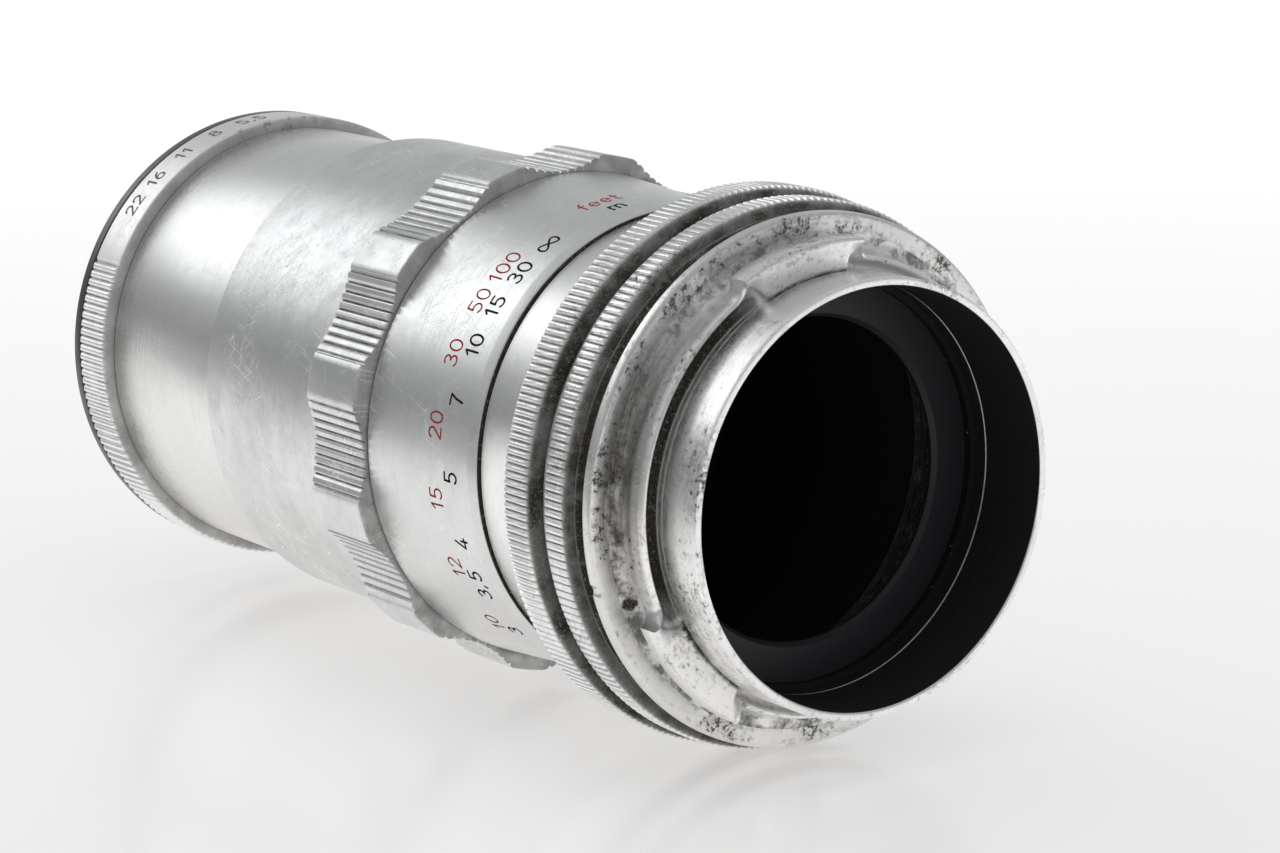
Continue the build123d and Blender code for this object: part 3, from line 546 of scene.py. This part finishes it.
# Flange and tail: painted shade on the left and at the collar's foot, and a painted pin hole
alu_flange = aluminium(
    "alu_flange", rough=(0.24, 0.36), scuffs=0.6, lathe=0.25, stains=1.45, dirt_and_shade=waist_dirt_and_shade, pits=0.5,
    left_shade=flange_left_shade, rim=26.97,
)
alu_tail = aluminium(
    "alu_tail", base=bare(0.95), rough=(0.23, 0.34), scuffs=0.7, lathe=0.25, stains=0.95, dirt_and_shade=tail_dirt_and_shade,
    pits=0.5, paint_bore=21.09, left_shade=flange_left_shade,
)
black_ring = painted("black_ring", (0.022, 0.022, 0.024, 1.0), rough=0.30, grain=0.3, chips=0.5, gloss=0.75)
ink_black = ink("ink_black", (0.016, 0.015, 0.014, 1.0), 0.4)
ink_red = ink("ink_red", (0.27, 0.030, 0.022, 1.0), 0.3)
ink_worn = ink("ink_worn", (0.15, 0.147, 0.14, 1.0), 0.4)

# Materials of the CAD nodes that show as they are
aluminium("alu_inner", rough=(0.3, 0.4), scuffs=0.0, lathe=0.4, smudge=0.2)
aluminium("steel", base=(0.56, 0.555, 0.55, 1.0), rough=(0.25, 0.36), scuffs=0.2, lathe=0.2)
aluminium("brass", base=(0.72, 0.53, 0.25, 1.0), rough=(0.25, 0.4), scuffs=0.2, lathe=0.6)
painted("black_inside", (0.0035, 0.0035, 0.0036, 1.0), rough=0.75, grain=0.5, gloss=0.012, dusty=0.05)
painted("blade_steel", (0.035, 0.036, 0.042, 1.0), rough=0.34, grain=0.2)
painted("baffle_ring_paint", (0.008, 0.008, 0.009, 1.0), rough=0.45, chips=0.9, gloss=0.08, dusty=0.15)
coated_glass("glass_front", (0.42, 0.40, 0.55, 1.0), 1.38, 0.02)
coated_glass("glass_rear", (0.05, 0.055, 0.07, 1.0), 1.13)


# ---------------------------------------------------------------- the visible rings, in fine detail

# Bayonet tail: lip, collar and three lugs (from angle, to angle) with run-out fillets at their ends
LUGS = ((-28.5, 6.0), (91.5, 126.0), (-150.0, -116.0))
LUG_R = 24.0
RUN_OUT = 1.7                   # mm round the collar, beyond the lug
FACE_RUN = 2.2                  # mm round the collar, inside the lug


def inside_lug(angle, lug):
    """Millimetres from an angle to the nearer end of a lug, positive on the lug."""
    start, end = lug
    turn = wrapped(angle - (start + end) / 2)
    return ((end - start) / 2 - abs(turn)) * radians(1) * LUG_R


def lug_share(angle):
    """1 on a lug, 0 in a gap, with a concave fillet at each lug's end."""
    beyond = -max(inside_lug(angle, lug) for lug in LUGS)
    if beyond <= 0:
        return 1.0
    if beyond >= RUN_OUT:
        return 0.0
    return 1.0 - sqrt(1.0 - (1.0 - beyond / RUN_OUT) ** 2)


def face_share(angle):
    """How far the inner part of a lug's face has risen: 0 at the lug's end, 1 well inside."""
    t = min(1.0, max(0.0, max(inside_lug(angle, lug) for lug in LUGS) / FACE_RUN))
    return t * t * (3.0 - 2.0 * t)


LIP = [
    (21.0, 0.35), (21.02, 0.18), (21.10, 0.05), (21.25, 0.0), (21.62, 0.0), (21.78, 0.05), (21.84, 0.18),
    (21.84, 0.5), (21.82, 3.0), (21.80, 5.25), (21.72, 5.35),
]
# Each row gives the point in a gap, where a narrow ridge stands round a dirty groove, and the one on a lug.
COLLAR = [
    ((21.46, 5.38), (21.46, 5.38)), ((21.42, 5.50), (21.42, 5.48)), ((21.42, 5.80), (21.42, 5.66)),
    ((21.44, 7.10), (21.50, 5.74)), ((21.55, 7.40), (21.66, 5.72)), ((21.80, 7.52), (21.80, 5.60)),
    ((22.10, 7.50), (22.20, 5.55)), ((22.35, 7.30), (22.80, 5.54)), ((22.52, 6.95), (23.40, 5.53)),
    ((22.66, 6.70), (24.00, 5.52)), ((22.80, 6.60), (24.50, 5.52)), ((22.95, 6.62), (24.72, 5.53)),
    ((23.10, 6.75), (24.92, 5.62)), ((23.18, 7.00), (25.00, 5.80)), ((23.22, 7.60), (25.00, 7.90)),
    ((23.26, 8.20), (24.94, 8.08)), ((23.30, 8.40), (24.75, 8.17)), ((23.34, 8.60), (23.45, 8.22)),
    ((23.38, 8.80), (23.36, 8.60)), ((23.50, 9.20), (23.50, 9.20)), ((23.72, 9.55), (23.72, 9.55)),
    ((24.05, 9.80), (24.05, 9.80)), ((24.50, 9.94), (24.50, 9.94)), ((24.95, 9.985), (24.95, 9.985)),
]
BORE = [
    (22.6, 9.985), (22.6, 17.0), (21.0, 17.0), (21.0, 8.45), (21.12, 8.38), (21.12, 8.22), (21.0, 8.15),
]
LUG_FACE_Y = 5.78               # collar points before this station are on the lug's rear face
LUG_FACE_R = 22.2               # inside this radius the lug's face rises by face_share alone


def tail_section(angle):
    rise, face = lug_share(angle), face_share(angle)
    section = list(LIP)
    for (gap_r, gap_y), (lug_r, lug_y) in COLLAR:
        share = rise
        if lug_y < LUG_FACE_Y:
            outer = min(1.0, max(0.0, (lug_r - LUG_FACE_R) / 2.3))
            share = rise * outer + face * (1.0 - outer)
        section.append((gap_r * (1 - rise) + lug_r * rise, gap_y * (1 - share) + lug_y * share))
    return section + BORE


def build_tail():
    angles = []
    angle = -180.0
    while angle < 180.0 - 1e-6:
        angles.append(angle)
        near_end = any(abs(wrapped(angle - end)) < 5.0 for lug in LUGS for end in lug)
        angle += 0.125 if near_end else 0.5
    vertices = [on_lens(r, y, angle) for angle in angles for r, y in tail_section(angle)]
    faces = rings_to_faces(len(angles), len(LIP) + len(COLLAR) + len(BORE), False)
    tail = new_object("bayonet_tail_fine", vertices, faces, alu_tail, "mount", "alu_tail", 40.0)
    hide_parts("bayonet_tail")


build_tail()

# Mount flange: flat face, rounded bright rim, concave dirty waist
waist = [
    (26.9 - 1.35 * sin(radians(20 + 14 * i)) ** 0.8 if 0 < i < 10 else 26.45, 11.42 + 0.185 * i)
    for i in range(11)
]
NICK_ANGLE, NICK_HALF, NICK_DEPTH = -106.0, 1.3, 0.22


def flange_nick(r, y, angle):
    """A small nick knocked into the rim."""
    near = abs(angle - NICK_ANGLE) / NICK_HALF
    return r - NICK_DEPTH * (1 - near ** 2) if r > 26.3 and y < 11.4 and near < 1 else r


flange_angles = sorted(set(even(360) + [360.0 + NICK_ANGLE + 0.2 * i for i in range(-14, 15)]))
flange = lathe(
    "mount_flange_fine",
    ease([(22.65, 10.0), (26.95, 10.0, 0.45), (26.98, 11.32, 0.3)], 0.05, 4)
    + waist
    + ease([(25.75, 13.32), (25.75, 20.4), (22.65, 20.4)], 0.02, 1),
    [a if a <= 180 else a - 360 for a in flange_angles], alu_flange, "mount", "alu_tail",
    shape=flange_nick, sharp=30.0,
)
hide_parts("mount_flange")


def knurled_ring(name, outer, depth, count, profile, material, body, slot):
    """A ring with straight ribs: every point of the profile above the valley radius follows the ribs."""
    def shape(r, y, angle):
        if r <= outer - depth:
            return r
        phase = (angle * count / 360.0) % 1.0
        crest = min(1.0, (1.0 - abs(2.0 * phase - 1.0)) * 1.7)
        return min(r, outer - depth + depth * crest)
    return lathe(name, profile, even(count * 8), material, body, slot, shape=shape, sharp=28.0)


grip_profile = [
    (25.75, 13.35), (27.1, 13.35), (27.35, 13.38), (27.55, 13.45), (27.75, 13.6), (27.88, 13.8),
    (27.9, 14.0), (27.88, 15.0), (27.84, 16.2), (27.7, 16.45), (27.52, 16.6), (27.44, 16.66), (27.3, 16.9),
    (27.05, 17.45), (26.98, 17.68), (26.85, 17.78), (25.75, 17.8),
]
knurled = knurled_ring(
    "mount_grip_ring_fine", 27.9, 0.40, 208, grip_profile, alu_grip, "mount", "alu_knurled",
)
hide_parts("mount_grip_ring")

lock_profile = [
    (25.92, 18.4), (27.7, 18.4), (27.95, 18.43), (28.15, 18.52), (28.35, 18.68), (28.47, 18.9), (28.5, 19.1),
    (28.5, 20.5), (28.5, 21.9), (28.47, 22.2), (28.35, 22.42), (28.15, 22.58), (27.95, 22.67), (27.7, 22.7),
    (24.48, 22.7), (24.48, 21.7), (25.92, 21.7),
]
lock = knurled_ring(
    "lock_ring_fine", 28.5, 0.42, 230, lock_profile, alu_lock, "lock_ring_body", "alu_knurled",
)
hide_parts("lock_ring")

# Fixed barrel
barrel = lathe(
    "fixed_barrel_fine",
    ease([(21.7, 20.5), (25.68, 20.5), (25.68, 21.6), (24.4, 21.6), (24.4, 32.44, 0.12), (22.7, 32.44),
          (22.7, 79.5), (21.7, 79.5)], 0.05, 2),
    even(360), alu_barrel, "mount", "alu_polished",
)
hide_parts("fixed_barrel")

# Distance scale ring: a cone between two (radius, station) points
CONE_REAR = (24.93, 34.15)
CONE_FRONT = (26.12, 50.95)
scale = lathe(
    "scale_ring_fine",
    ease([(22.77, 32.92), (24.66, 32.92, 0.12), CONE_REAR + (0.1,), CONE_FRONT + (0.1,), (26.05, 51.08),
          (25.42, 51.08), (25.42, 48.02), (24.78, 48.02), (24.78, 45.0), (22.77, 45.0)], 0.04, 3),
    even(480), alu_scale, "focus", "alu_polished",
)
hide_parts("scale_ring")

# Focusing sleeve with its scalloped grip band
FLOOR_R = 26.45                 # radius at the bottom of a scallop
CUTTER_R = 11.3                 # radius of the cutter that made the scallops
RIB_DEPTH = 0.36
LAND_R = 27.99
LAND_WEAR = 0.16
BAND_R = 28.0
RIB_STEPS = 10
SCALLOP_STEPS = 9 * RIB_STEPS + 6


def scallop_floor(angle):
    centre = FLOOR_R + CUTTER_R
    across = centre * sin(radians(angle))
    return centre * cos(radians(angle)) - sqrt(max(CUTTER_R ** 2 - across ** 2, 0.0))


def grip_radius(angle):
    """Radius of the grip band: worn lands, and scallops with straight V-shaped ribs."""
    half_step = SCALLOP_STEP / 2
    local = (angle - SCALLOP_PHASE + half_step) % SCALLOP_STEP - half_step
    side = abs(local)
    if side >= SCALLOP_HALF:
        edge = (side - SCALLOP_HALF) * radians(1) * BAND_R
        return LAND_R - LAND_WEAR * max(0.0, 1.0 - edge / 0.35) ** 2
    start = 0.3 * RIB_PITCH - SCALLOP_HALF
    rise = min(1.0, (1.0 - abs(2.0 * (((local - start) / RIB_PITCH) % 1.0) - 1.0)) * 2.2)
    if local < start or local > start + 9 * RIB_PITCH:
        rise = 0.0 if side < SCALLOP_HALF - 0.1 else 1.0
    floor = scallop_floor(local) - RIB_DEPTH * (1.0 - rise)
    return min(LAND_R - LAND_WEAR, max(floor, 25.9))


def on_grip(r, y, angle):
    return min(r, grip_radius(angle)) if 51.05 < y < 61.25 and r > 25.95 else r


grip_angles = []
for scallop in range(12):
    first = SCALLOP_PHASE + SCALLOP_STEP * scallop
    grip_angles += [first + 10.0 + 10.0 * step / 12 for step in range(12)]
    grip_angles += [first + 20.0 + 20.0 * step / SCALLOP_STEPS for step in range(SCALLOP_STEPS)]
sleeve = lathe(
    "focus_sleeve_fine",
    [(24.78, 84.45), (24.78, 48.12), (25.38, 48.12), (25.38, 51.14), (26.3, 51.14), (27.0, 51.14),
     (27.6, 51.15), (27.80, 51.19), (27.93, 51.28), (27.99, 51.42), (28.0, 51.7), (28.0, 56.0), (28.0, 60.1),
     (27.93, 60.35), (27.7, 60.55), (27.2, 60.78), (26.7, 60.98), (26.35, 61.12), (26.12, 61.22),
     (26.05, 61.32), (26.05, 70.0), (26.05, 84.1), (26.02, 84.3), (25.9, 84.43), (25.75, 84.47),
     (24.85, 84.48)],
    grip_angles, alu_sleeve, "focus", "alu_polished", shape=on_grip, sharp=24.0,
)
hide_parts("focus_sleeve")

# Head tube: a fine skin over the CAD tube, which keeps its keyways and screw slot
lathe(
    "head_tube_fine",
    ease([(24.4, 81.5), (24.715, 81.5), (24.715, 107.98), (24.4, 107.98)], 0.04, 2),
    even(360), alu_head, "head", "alu_polished",
)

# Aperture ring: plain on top, rounded ribs on the rest
PLAIN_HALF = 66.0
PLAIN_R = 26.02
RIBS = 106
RIBBED_SPAN = 360.0 - 2 * PLAIN_HALF


def aperture_shape(r, y, angle):
    if r < 25.6:
        return r
    turn = wrapped(angle)
    if abs(turn) < PLAIN_HALF - 0.5:
        return min(r, PLAIN_R)
    crest = abs(sin(pi * (turn % 360.0 - PLAIN_HALF) / (RIBBED_SPAN / RIBS))) ** 0.75
    return min(r, 25.72 + 0.46 * crest)


aperture_angles = [2 * PLAIN_HALF * i / 120 - PLAIN_HALF for i in range(120)]
aperture_angles += [PLAIN_HALF + RIBBED_SPAN * i / (RIBS * 8) for i in range(RIBS * 8)]
aperture = lathe(
    "aperture_ring_fine",
    [(24.18, 108.06), (25.2, 108.06), (25.6, 108.08), (25.78, 108.12), (25.95, 108.2), (26.1, 108.35),
     (26.17, 108.6), (26.2, 109.0), (26.2, 111.0), (26.2, 112.9), (26.17, 113.25), (26.1, 113.5),
     (25.95, 113.66), (25.78, 113.74), (25.6, 113.78), (24.18, 113.78)],
    aperture_angles, alu_aperture, "aperture", "alu_polished", shape=aperture_shape, sharp=30.0,
)
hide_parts("aperture_ring")

# Black front ring
front = lathe(
    "front_ring_fine",
    ease([(22.82, 112.0), (23.24, 112.0), (23.24, 113.88), (26.0, 113.88, 0.15), (26.0, 115.22, 0.25),
          (23.5, 115.22, 0.1), (22.82, 114.55, 0.1)], 0.05, 3),
    even(360), black_ring, "head", "black_ring",
)
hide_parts("front_ring")


# ---------------------------------------------------------------- engraved digits

def arc(cx, cy, rx, ry, start, end, steps=14):
    turns = [radians(start + (end - start) * i / steps) for i in range(steps + 1)]
    return [(cx + rx * cos(turn), cy + ry * sin(turn)) for turn in turns]


def infinity_loop(steps=40):
    turns = [2 * pi * i / steps for i in range(steps + 1)]
    return [(0.62 + 0.58 * cos(turn), 0.5 + 0.62 * sin(turn) * cos(turn)) for turn in turns]


# Width and strokes of each character, in units of the digits' height. "~" is the sign for infinity.
GLYPHS = {
    "0": (0.62, [arc(0.31, 0.5, 0.27, 0.47, 0, 360, 28)]),
    "1": (0.42, [[(0.08, 0.74), (0.29, 0.97), (0.29, 0.03)]]),
    "2": (0.60, [arc(0.30, 0.71, 0.25, 0.26, 165, -30, 14) + [(0.05, 0.03), (0.57, 0.03)]]),
    "3": (0.60, [arc(0.28, 0.75, 0.22, 0.22, 150, -90), arc(0.28, 0.28, 0.26, 0.25, 90, -150)]),
    "4": (0.62, [[(0.38, 0.97), (0.04, 0.25), (0.59, 0.25)], [(0.42, 0.50), (0.42, 0.03)]]),
    "5": (0.60, [[(0.52, 0.97), (0.13, 0.97), (0.10, 0.55)] + arc(0.28, 0.32, 0.26, 0.29, 125, -145)]),
    "6": (0.60, [arc(0.30, 0.31, 0.25, 0.28, 0, 360, 22),
                 [(0.06, 0.38), (0.12, 0.62), (0.26, 0.84), (0.44, 0.97)]]),
    "7": (0.58, [[(0.04, 0.97), (0.55, 0.97), (0.38, 0.60), (0.24, 0.03)]]),
    "8": (0.60, [arc(0.30, 0.75, 0.20, 0.22, 0, 360, 20), arc(0.30, 0.28, 0.25, 0.25, 0, 360, 22)]),
    ",": (0.24, [[(0.12, 0.08), (0.05, -0.12)]]),
    "~": (1.24, [infinity_loop()]),
    "m": (0.92, [[(0.06, 0.03), (0.06, 0.64)], arc(0.25, 0.44, 0.18, 0.20, 170, 0, 8) + [(0.43, 0.03)],
                 arc(0.62, 0.44, 0.18, 0.20, 180, 0, 8) + [(0.80, 0.03)]]),
    "f": (0.40, [[(0.16, 0.03), (0.16, 0.78)] + arc(0.30, 0.78, 0.14, 0.18, 180, 80, 6),
                 [(0.03, 0.62), (0.32, 0.62)]]),
    "e": (0.56, [[(0.05, 0.35), (0.50, 0.35)] + arc(0.275, 0.35, 0.225, 0.31, 0, 315, 16)]),
    "t": (0.42, [[(0.16, 0.92), (0.16, 0.18)] + arc(0.28, 0.18, 0.12, 0.15, 180, 290, 6),
                 [(0.03, 0.62), (0.34, 0.62)]]),
}
GAP = 0.16                      # between characters, in units of the digits' height
INK_LIFT = 0.012                # mm above the metal


def stroke(points, half, place, vertices, faces):
    """A round-ended ribbon along points, each vertex sent through place(u, v)."""
    for (x0, y0), (x1, y1) in zip(points[:-1], points[1:]):
        if sqrt((x1 - x0) ** 2 + (y1 - y0) ** 2) < 1e-6:
            continue
        bearing = atan2(y1 - y0, x1 - x0)
        base = len(vertices)
        for x, y, first in ((x1, y1, bearing - pi / 2), (x0, y0, bearing + pi / 2)):
            for i in range(7):
                turn = first + pi * i / 6
                vertices.append(place(x + half * cos(turn), y + half * sin(turn)))
        faces.append(tuple(range(base, len(vertices))))


def engrave(name, entries, foot, radius, height, weight, material, body, slot):
    """Digits round the lens: entries of (text, angle), with their feet at station foot, on radius(y)."""
    vertices, faces = [], []
    for text, centre in entries:
        def place(u, v):
            y = foot + v * height
            r = radius(y) + INK_LIFT
            return on_lens(r, y, centre + u * height / r / radians(1))

        cursor = -(sum(GLYPHS[ch][0] for ch in text) + GAP * (len(text) - 1)) / 2
        for ch in text:
            width, strokes = GLYPHS[ch]
            for points in strokes:
                stroke([(cursor + x, v) for x, v in points], weight / 2 / height, place, vertices, faces)
            cursor += width + GAP
    new_object(name, vertices, faces, material, body, slot, 60.0)


def cone(y):
    """Radius of the distance scale at station y."""
    share = (y - CONE_REAR[1]) / (CONE_FRONT[1] - CONE_REAR[1])
    return CONE_REAR[0] + (CONE_FRONT[0] - CONE_REAR[0]) * share


INFINITY_ANGLE = -31.0


def mark(metres):
    """Angle of a distance on the stored ring."""
    return INFINITY_ANGLE - 297.0 / (metres - 0.18)


def distances(words, unit):
    """Each number of a scale in the given unit with its angle; a comma is the decimal sign."""
    return [(word, mark(float(word.replace(",", ".")) * unit)) for word in words.split()]


FOOT = 0.3048
METRES_FOOT_Y, FEET_FOOT_Y, SCALE_HEIGHT = 35.95, 38.65, 2.05
black = distances("30 15 10 7 5 4 3,5 3 2,5 2 1,7 1,5", 1.0) + [("~", INFINITY_ANGLE), ("m", -10.6)]
red = distances("100 50 30 20 15 12 10 8 7 6 5,5 5", FOOT) + [("feet", -11.0)]
engrave("scale_digits_m", black, METRES_FOOT_Y, cone, SCALE_HEIGHT, 0.25, ink_black, "focus", "scale_black")
engrave("scale_digits_feet", red, FEET_FOOT_Y, cone, SCALE_HEIGHT, 0.20, ink_red, "focus", "scale_red")

STOPS = [("5,5", -9.0), ("8", -20.0), ("11", -30.4), ("16", -40.4), ("22", -49.2)]
engrave(
    "aperture_digits", STOPS, 110.3, lambda y: PLAIN_R, 2.0, 0.28, ink_worn, "aperture", "scale_black",
)


def index_line(name, angle, y0, y1, radius, width, material, body, slot):
    vertices, faces = [], []

    def place(u, v):
        return on_lens(radius + INK_LIFT, v, angle + u / radius / radians(1))

    stroke([(0.0, y0), (0.0, y1)], width / 2, place, vertices, faces)
    new_object(name, vertices, faces, material, body, slot, 60.0)


index_line("distance_index", 125.0, 26.5, 31.8, 24.4, 0.3, ink_red, "mount", "scale_red")
index_line("aperture_index", -9.0, 103.6, 107.2, 24.7, 0.3, ink_black, "head", "scale_black")


# ---------------------------------------------------------------- CAD nodes that show as they are

SHOWN = {
    "alu_head": ["head_tube"],
    "black_inside": [
        "rear_baffle", "lens_barrel", "barrel_retaining_ring", "iris_base", "iris_drive_ring", "front_cell",
        "front_spacer", "front_retaining_ring", "rear_cell", "rear_spacer", "rear_retaining_ring",
    ],
    "black_ring": ["front_cover_ring"],
    "baffle_ring_paint": ["baffle_ring"],
    "alu_inner": ["focus_retaining_ring"],
    "steel": ["stop_screw", "guide_keys", "key_screws", "drive_screw"],
    "brass": ["head_helicoid"],
    "glass_front": ["front_element_1", "front_element_2"],
    "glass_rear": ["rear_element_1", "rear_element_2"],
    "blade_steel": [f"iris_blade_{i + 1:02d}" for i in range(12)],
}


def dress(node, material):
    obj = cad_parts[node]
    if not obj.material_slots:
        obj.data.materials.append(material)
    for slot in obj.material_slots:
        slot.material = material


for material_name, nodes in SHOWN.items():
    for cad_node in nodes:
        dress(cad_node, bpy.data.materials[material_name])


# ---------------------------------------------------------------- floor, lights, camera

FLOOR_Z = -0.0286
FLOOR_HALF = 4.0


def floor_material():
    """A white floor that glows by its own emission, more away from the middle and more in reflections.
    Painted dark reflection: in reflections it fades towards black left of x = -75 mm.
    """
    g = Graph("table")
    g.axes()
    away = g.math("SQRT", g.math("ADD", g.times(g.x, g.x), g.times(g.y, g.y)))
    glow = g.mix(g.band(away, 200.0, 1100.0), (0.485, 0.478, 0.472, 1.0), (0.72, 0.72, 0.725, 1.0))
    white = g.mix(g.noise(g.mm, 0.002, detail=2.0), (0.30, 0.30, 0.305, 1.0), (0.32, 0.32, 0.325, 1.0))
    glossy = g.node("ShaderNodeLightPath").outputs["Is Glossy Ray"]
    # Painted dark reflection: towards black beyond x = -75 mm, seen only in reflections
    beyond = g.times(g.band(g.x, -75.0, -200.0), glossy, 0.72)
    g.put("Base Color", g.mix(beyond, white, BLACK))
    g.put("Emission Color", g.mix(beyond, glow, BLACK))
    # Painted brighter reflection: the floor glows more in reflections
    g.put("Emission Strength", g.plus(1.0, glossy, 0.35))
    g.put("Roughness", 0.20)
    g.put("Specular IOR Level", 0.35)
    return g.material


table_mesh = bpy.data.meshes.new("table")
corners = [(-1, -1), (1, -1), (1, 1), (-1, 1)]
table_mesh.from_pydata([(FLOOR_HALF * x, FLOOR_HALF * y, FLOOR_Z) for x, y in corners], [], [(0, 1, 2, 3)])
table_mesh.materials.append(floor_material())
table = bpy.data.objects.new("table", table_mesh)
bpy.context.scene.collection.objects.link(table)


def softbox(name, location, width, height, power):
    """An area light aimed at the lens and not seen in reflections."""
    light = bpy.data.lights.new(name, "AREA")
    light.shape = "RECTANGLE"
    light.size = width
    light.size_y = height
    light.energy = power
    obj = bpy.data.objects.new(name, light)
    obj.location = location
    aim = Vector((0.0, 0.05, 0.0)) - Vector(location)
    obj.rotation_euler = aim.to_track_quat("-Z", "Y").to_euler()
    obj.visible_glossy = False
    obj.visible_transmission = False
    bpy.context.scene.collection.objects.link(obj)


softbox("key", (-0.30, 1.05, 0.62), 0.70, 0.36, 3.0)
softbox("top", (0.10, 0.0, 1.3), 1.3, 1.3, 6.0)

# Strength of the world in reflections: low left, low right, high up, behind the camera, softbox
LOW_LEFT, LOW_RIGHT, HIGH, BEHIND, BOX = 0.27, 0.92, 0.54, 0.40, 1.95
# Strength for matte surfaces, through glass, and seen by the camera
AMBIENT, THROUGH_GLASS, BACKDROP = 0.72, 0.03, 0.96


def studio_world():
    """Bright all round for matte surfaces. Reflections see a dim room and a long softbox on the far side."""
    world = bpy.data.worlds.new("studio")
    bpy.context.scene.world = world
    world.use_nodes = True
    tree = world.node_tree

    def node(kind, inputs, **settings):
        made = tree.nodes.new(kind)
        for name, value in settings.items():
            setattr(made, name, value)
        for index, value in inputs.items():
            if isinstance(value, bpy.types.NodeSocket):
                tree.links.new(value, made.inputs[index])
            else:
                made.inputs[index].default_value = value
        return made.outputs

    def step(value, low, high):
        limits = {0: value, 1: low, 2: high}
        return node("ShaderNodeMapRange", limits, interpolation_type="SMOOTHSTEP")[0]

    def times(first, *rest):
        for value in rest:
            first = node("ShaderNodeMath", {0: first, 1: value}, operation="MULTIPLY")[0]
        return first

    def blend(factor, a, b):
        return node("ShaderNodeMix", {0: factor, 2: a, 3: b}, data_type="FLOAT")[0]

    generated = node("ShaderNodeTexCoord", {})["Generated"]
    x, y, z = node("ShaderNodeSeparateXYZ", {0: generated})
    room = blend(step(x, -0.20, 0.55), LOW_LEFT, LOW_RIGHT)
    room = blend(step(z, -0.02, 0.40), room, HIGH)
    room = blend(step(y, 0.10, -0.45), room, BEHIND)
    tall, wide = (step(z, 0.22, 0.38), step(z, 0.80, 0.60)), (step(x, -0.70, -0.46), step(x, 0.14, -0.14))
    box = times(*tall, *wide, step(y, 0.45, 0.6))
    path = node("ShaderNodeLightPath", {})
    level = blend(path["Is Glossy Ray"], AMBIENT, blend(box, room, BOX))
    level = blend(path["Is Transmission Ray"], level, THROUGH_GLASS)
    level = blend(path["Is Camera Ray"], level, BACKDROP)
    background = tree.nodes["Background"]
    background.inputs["Color"].default_value = (0.965, 0.985, 1.0, 1.0)
    tree.links.new(level, background.inputs["Strength"])


studio_world()

camera = bpy.data.cameras.new("camera")
camera.sensor_width = 36.0
camera.lens = 112.5
camera.clip_start = 0.01
camera.clip_end = 20.0
cam = bpy.data.objects.new("camera", camera)
cam.location = (-0.2394, -0.2928, 0.0860)
cam.rotation_euler = (radians(78.23), 0.0, radians(-35.8))
bpy.context.scene.collection.objects.link(cam)
bpy.context.scene.camera = cam
bpy.context.scene.view_settings.view_transform = "Standard"
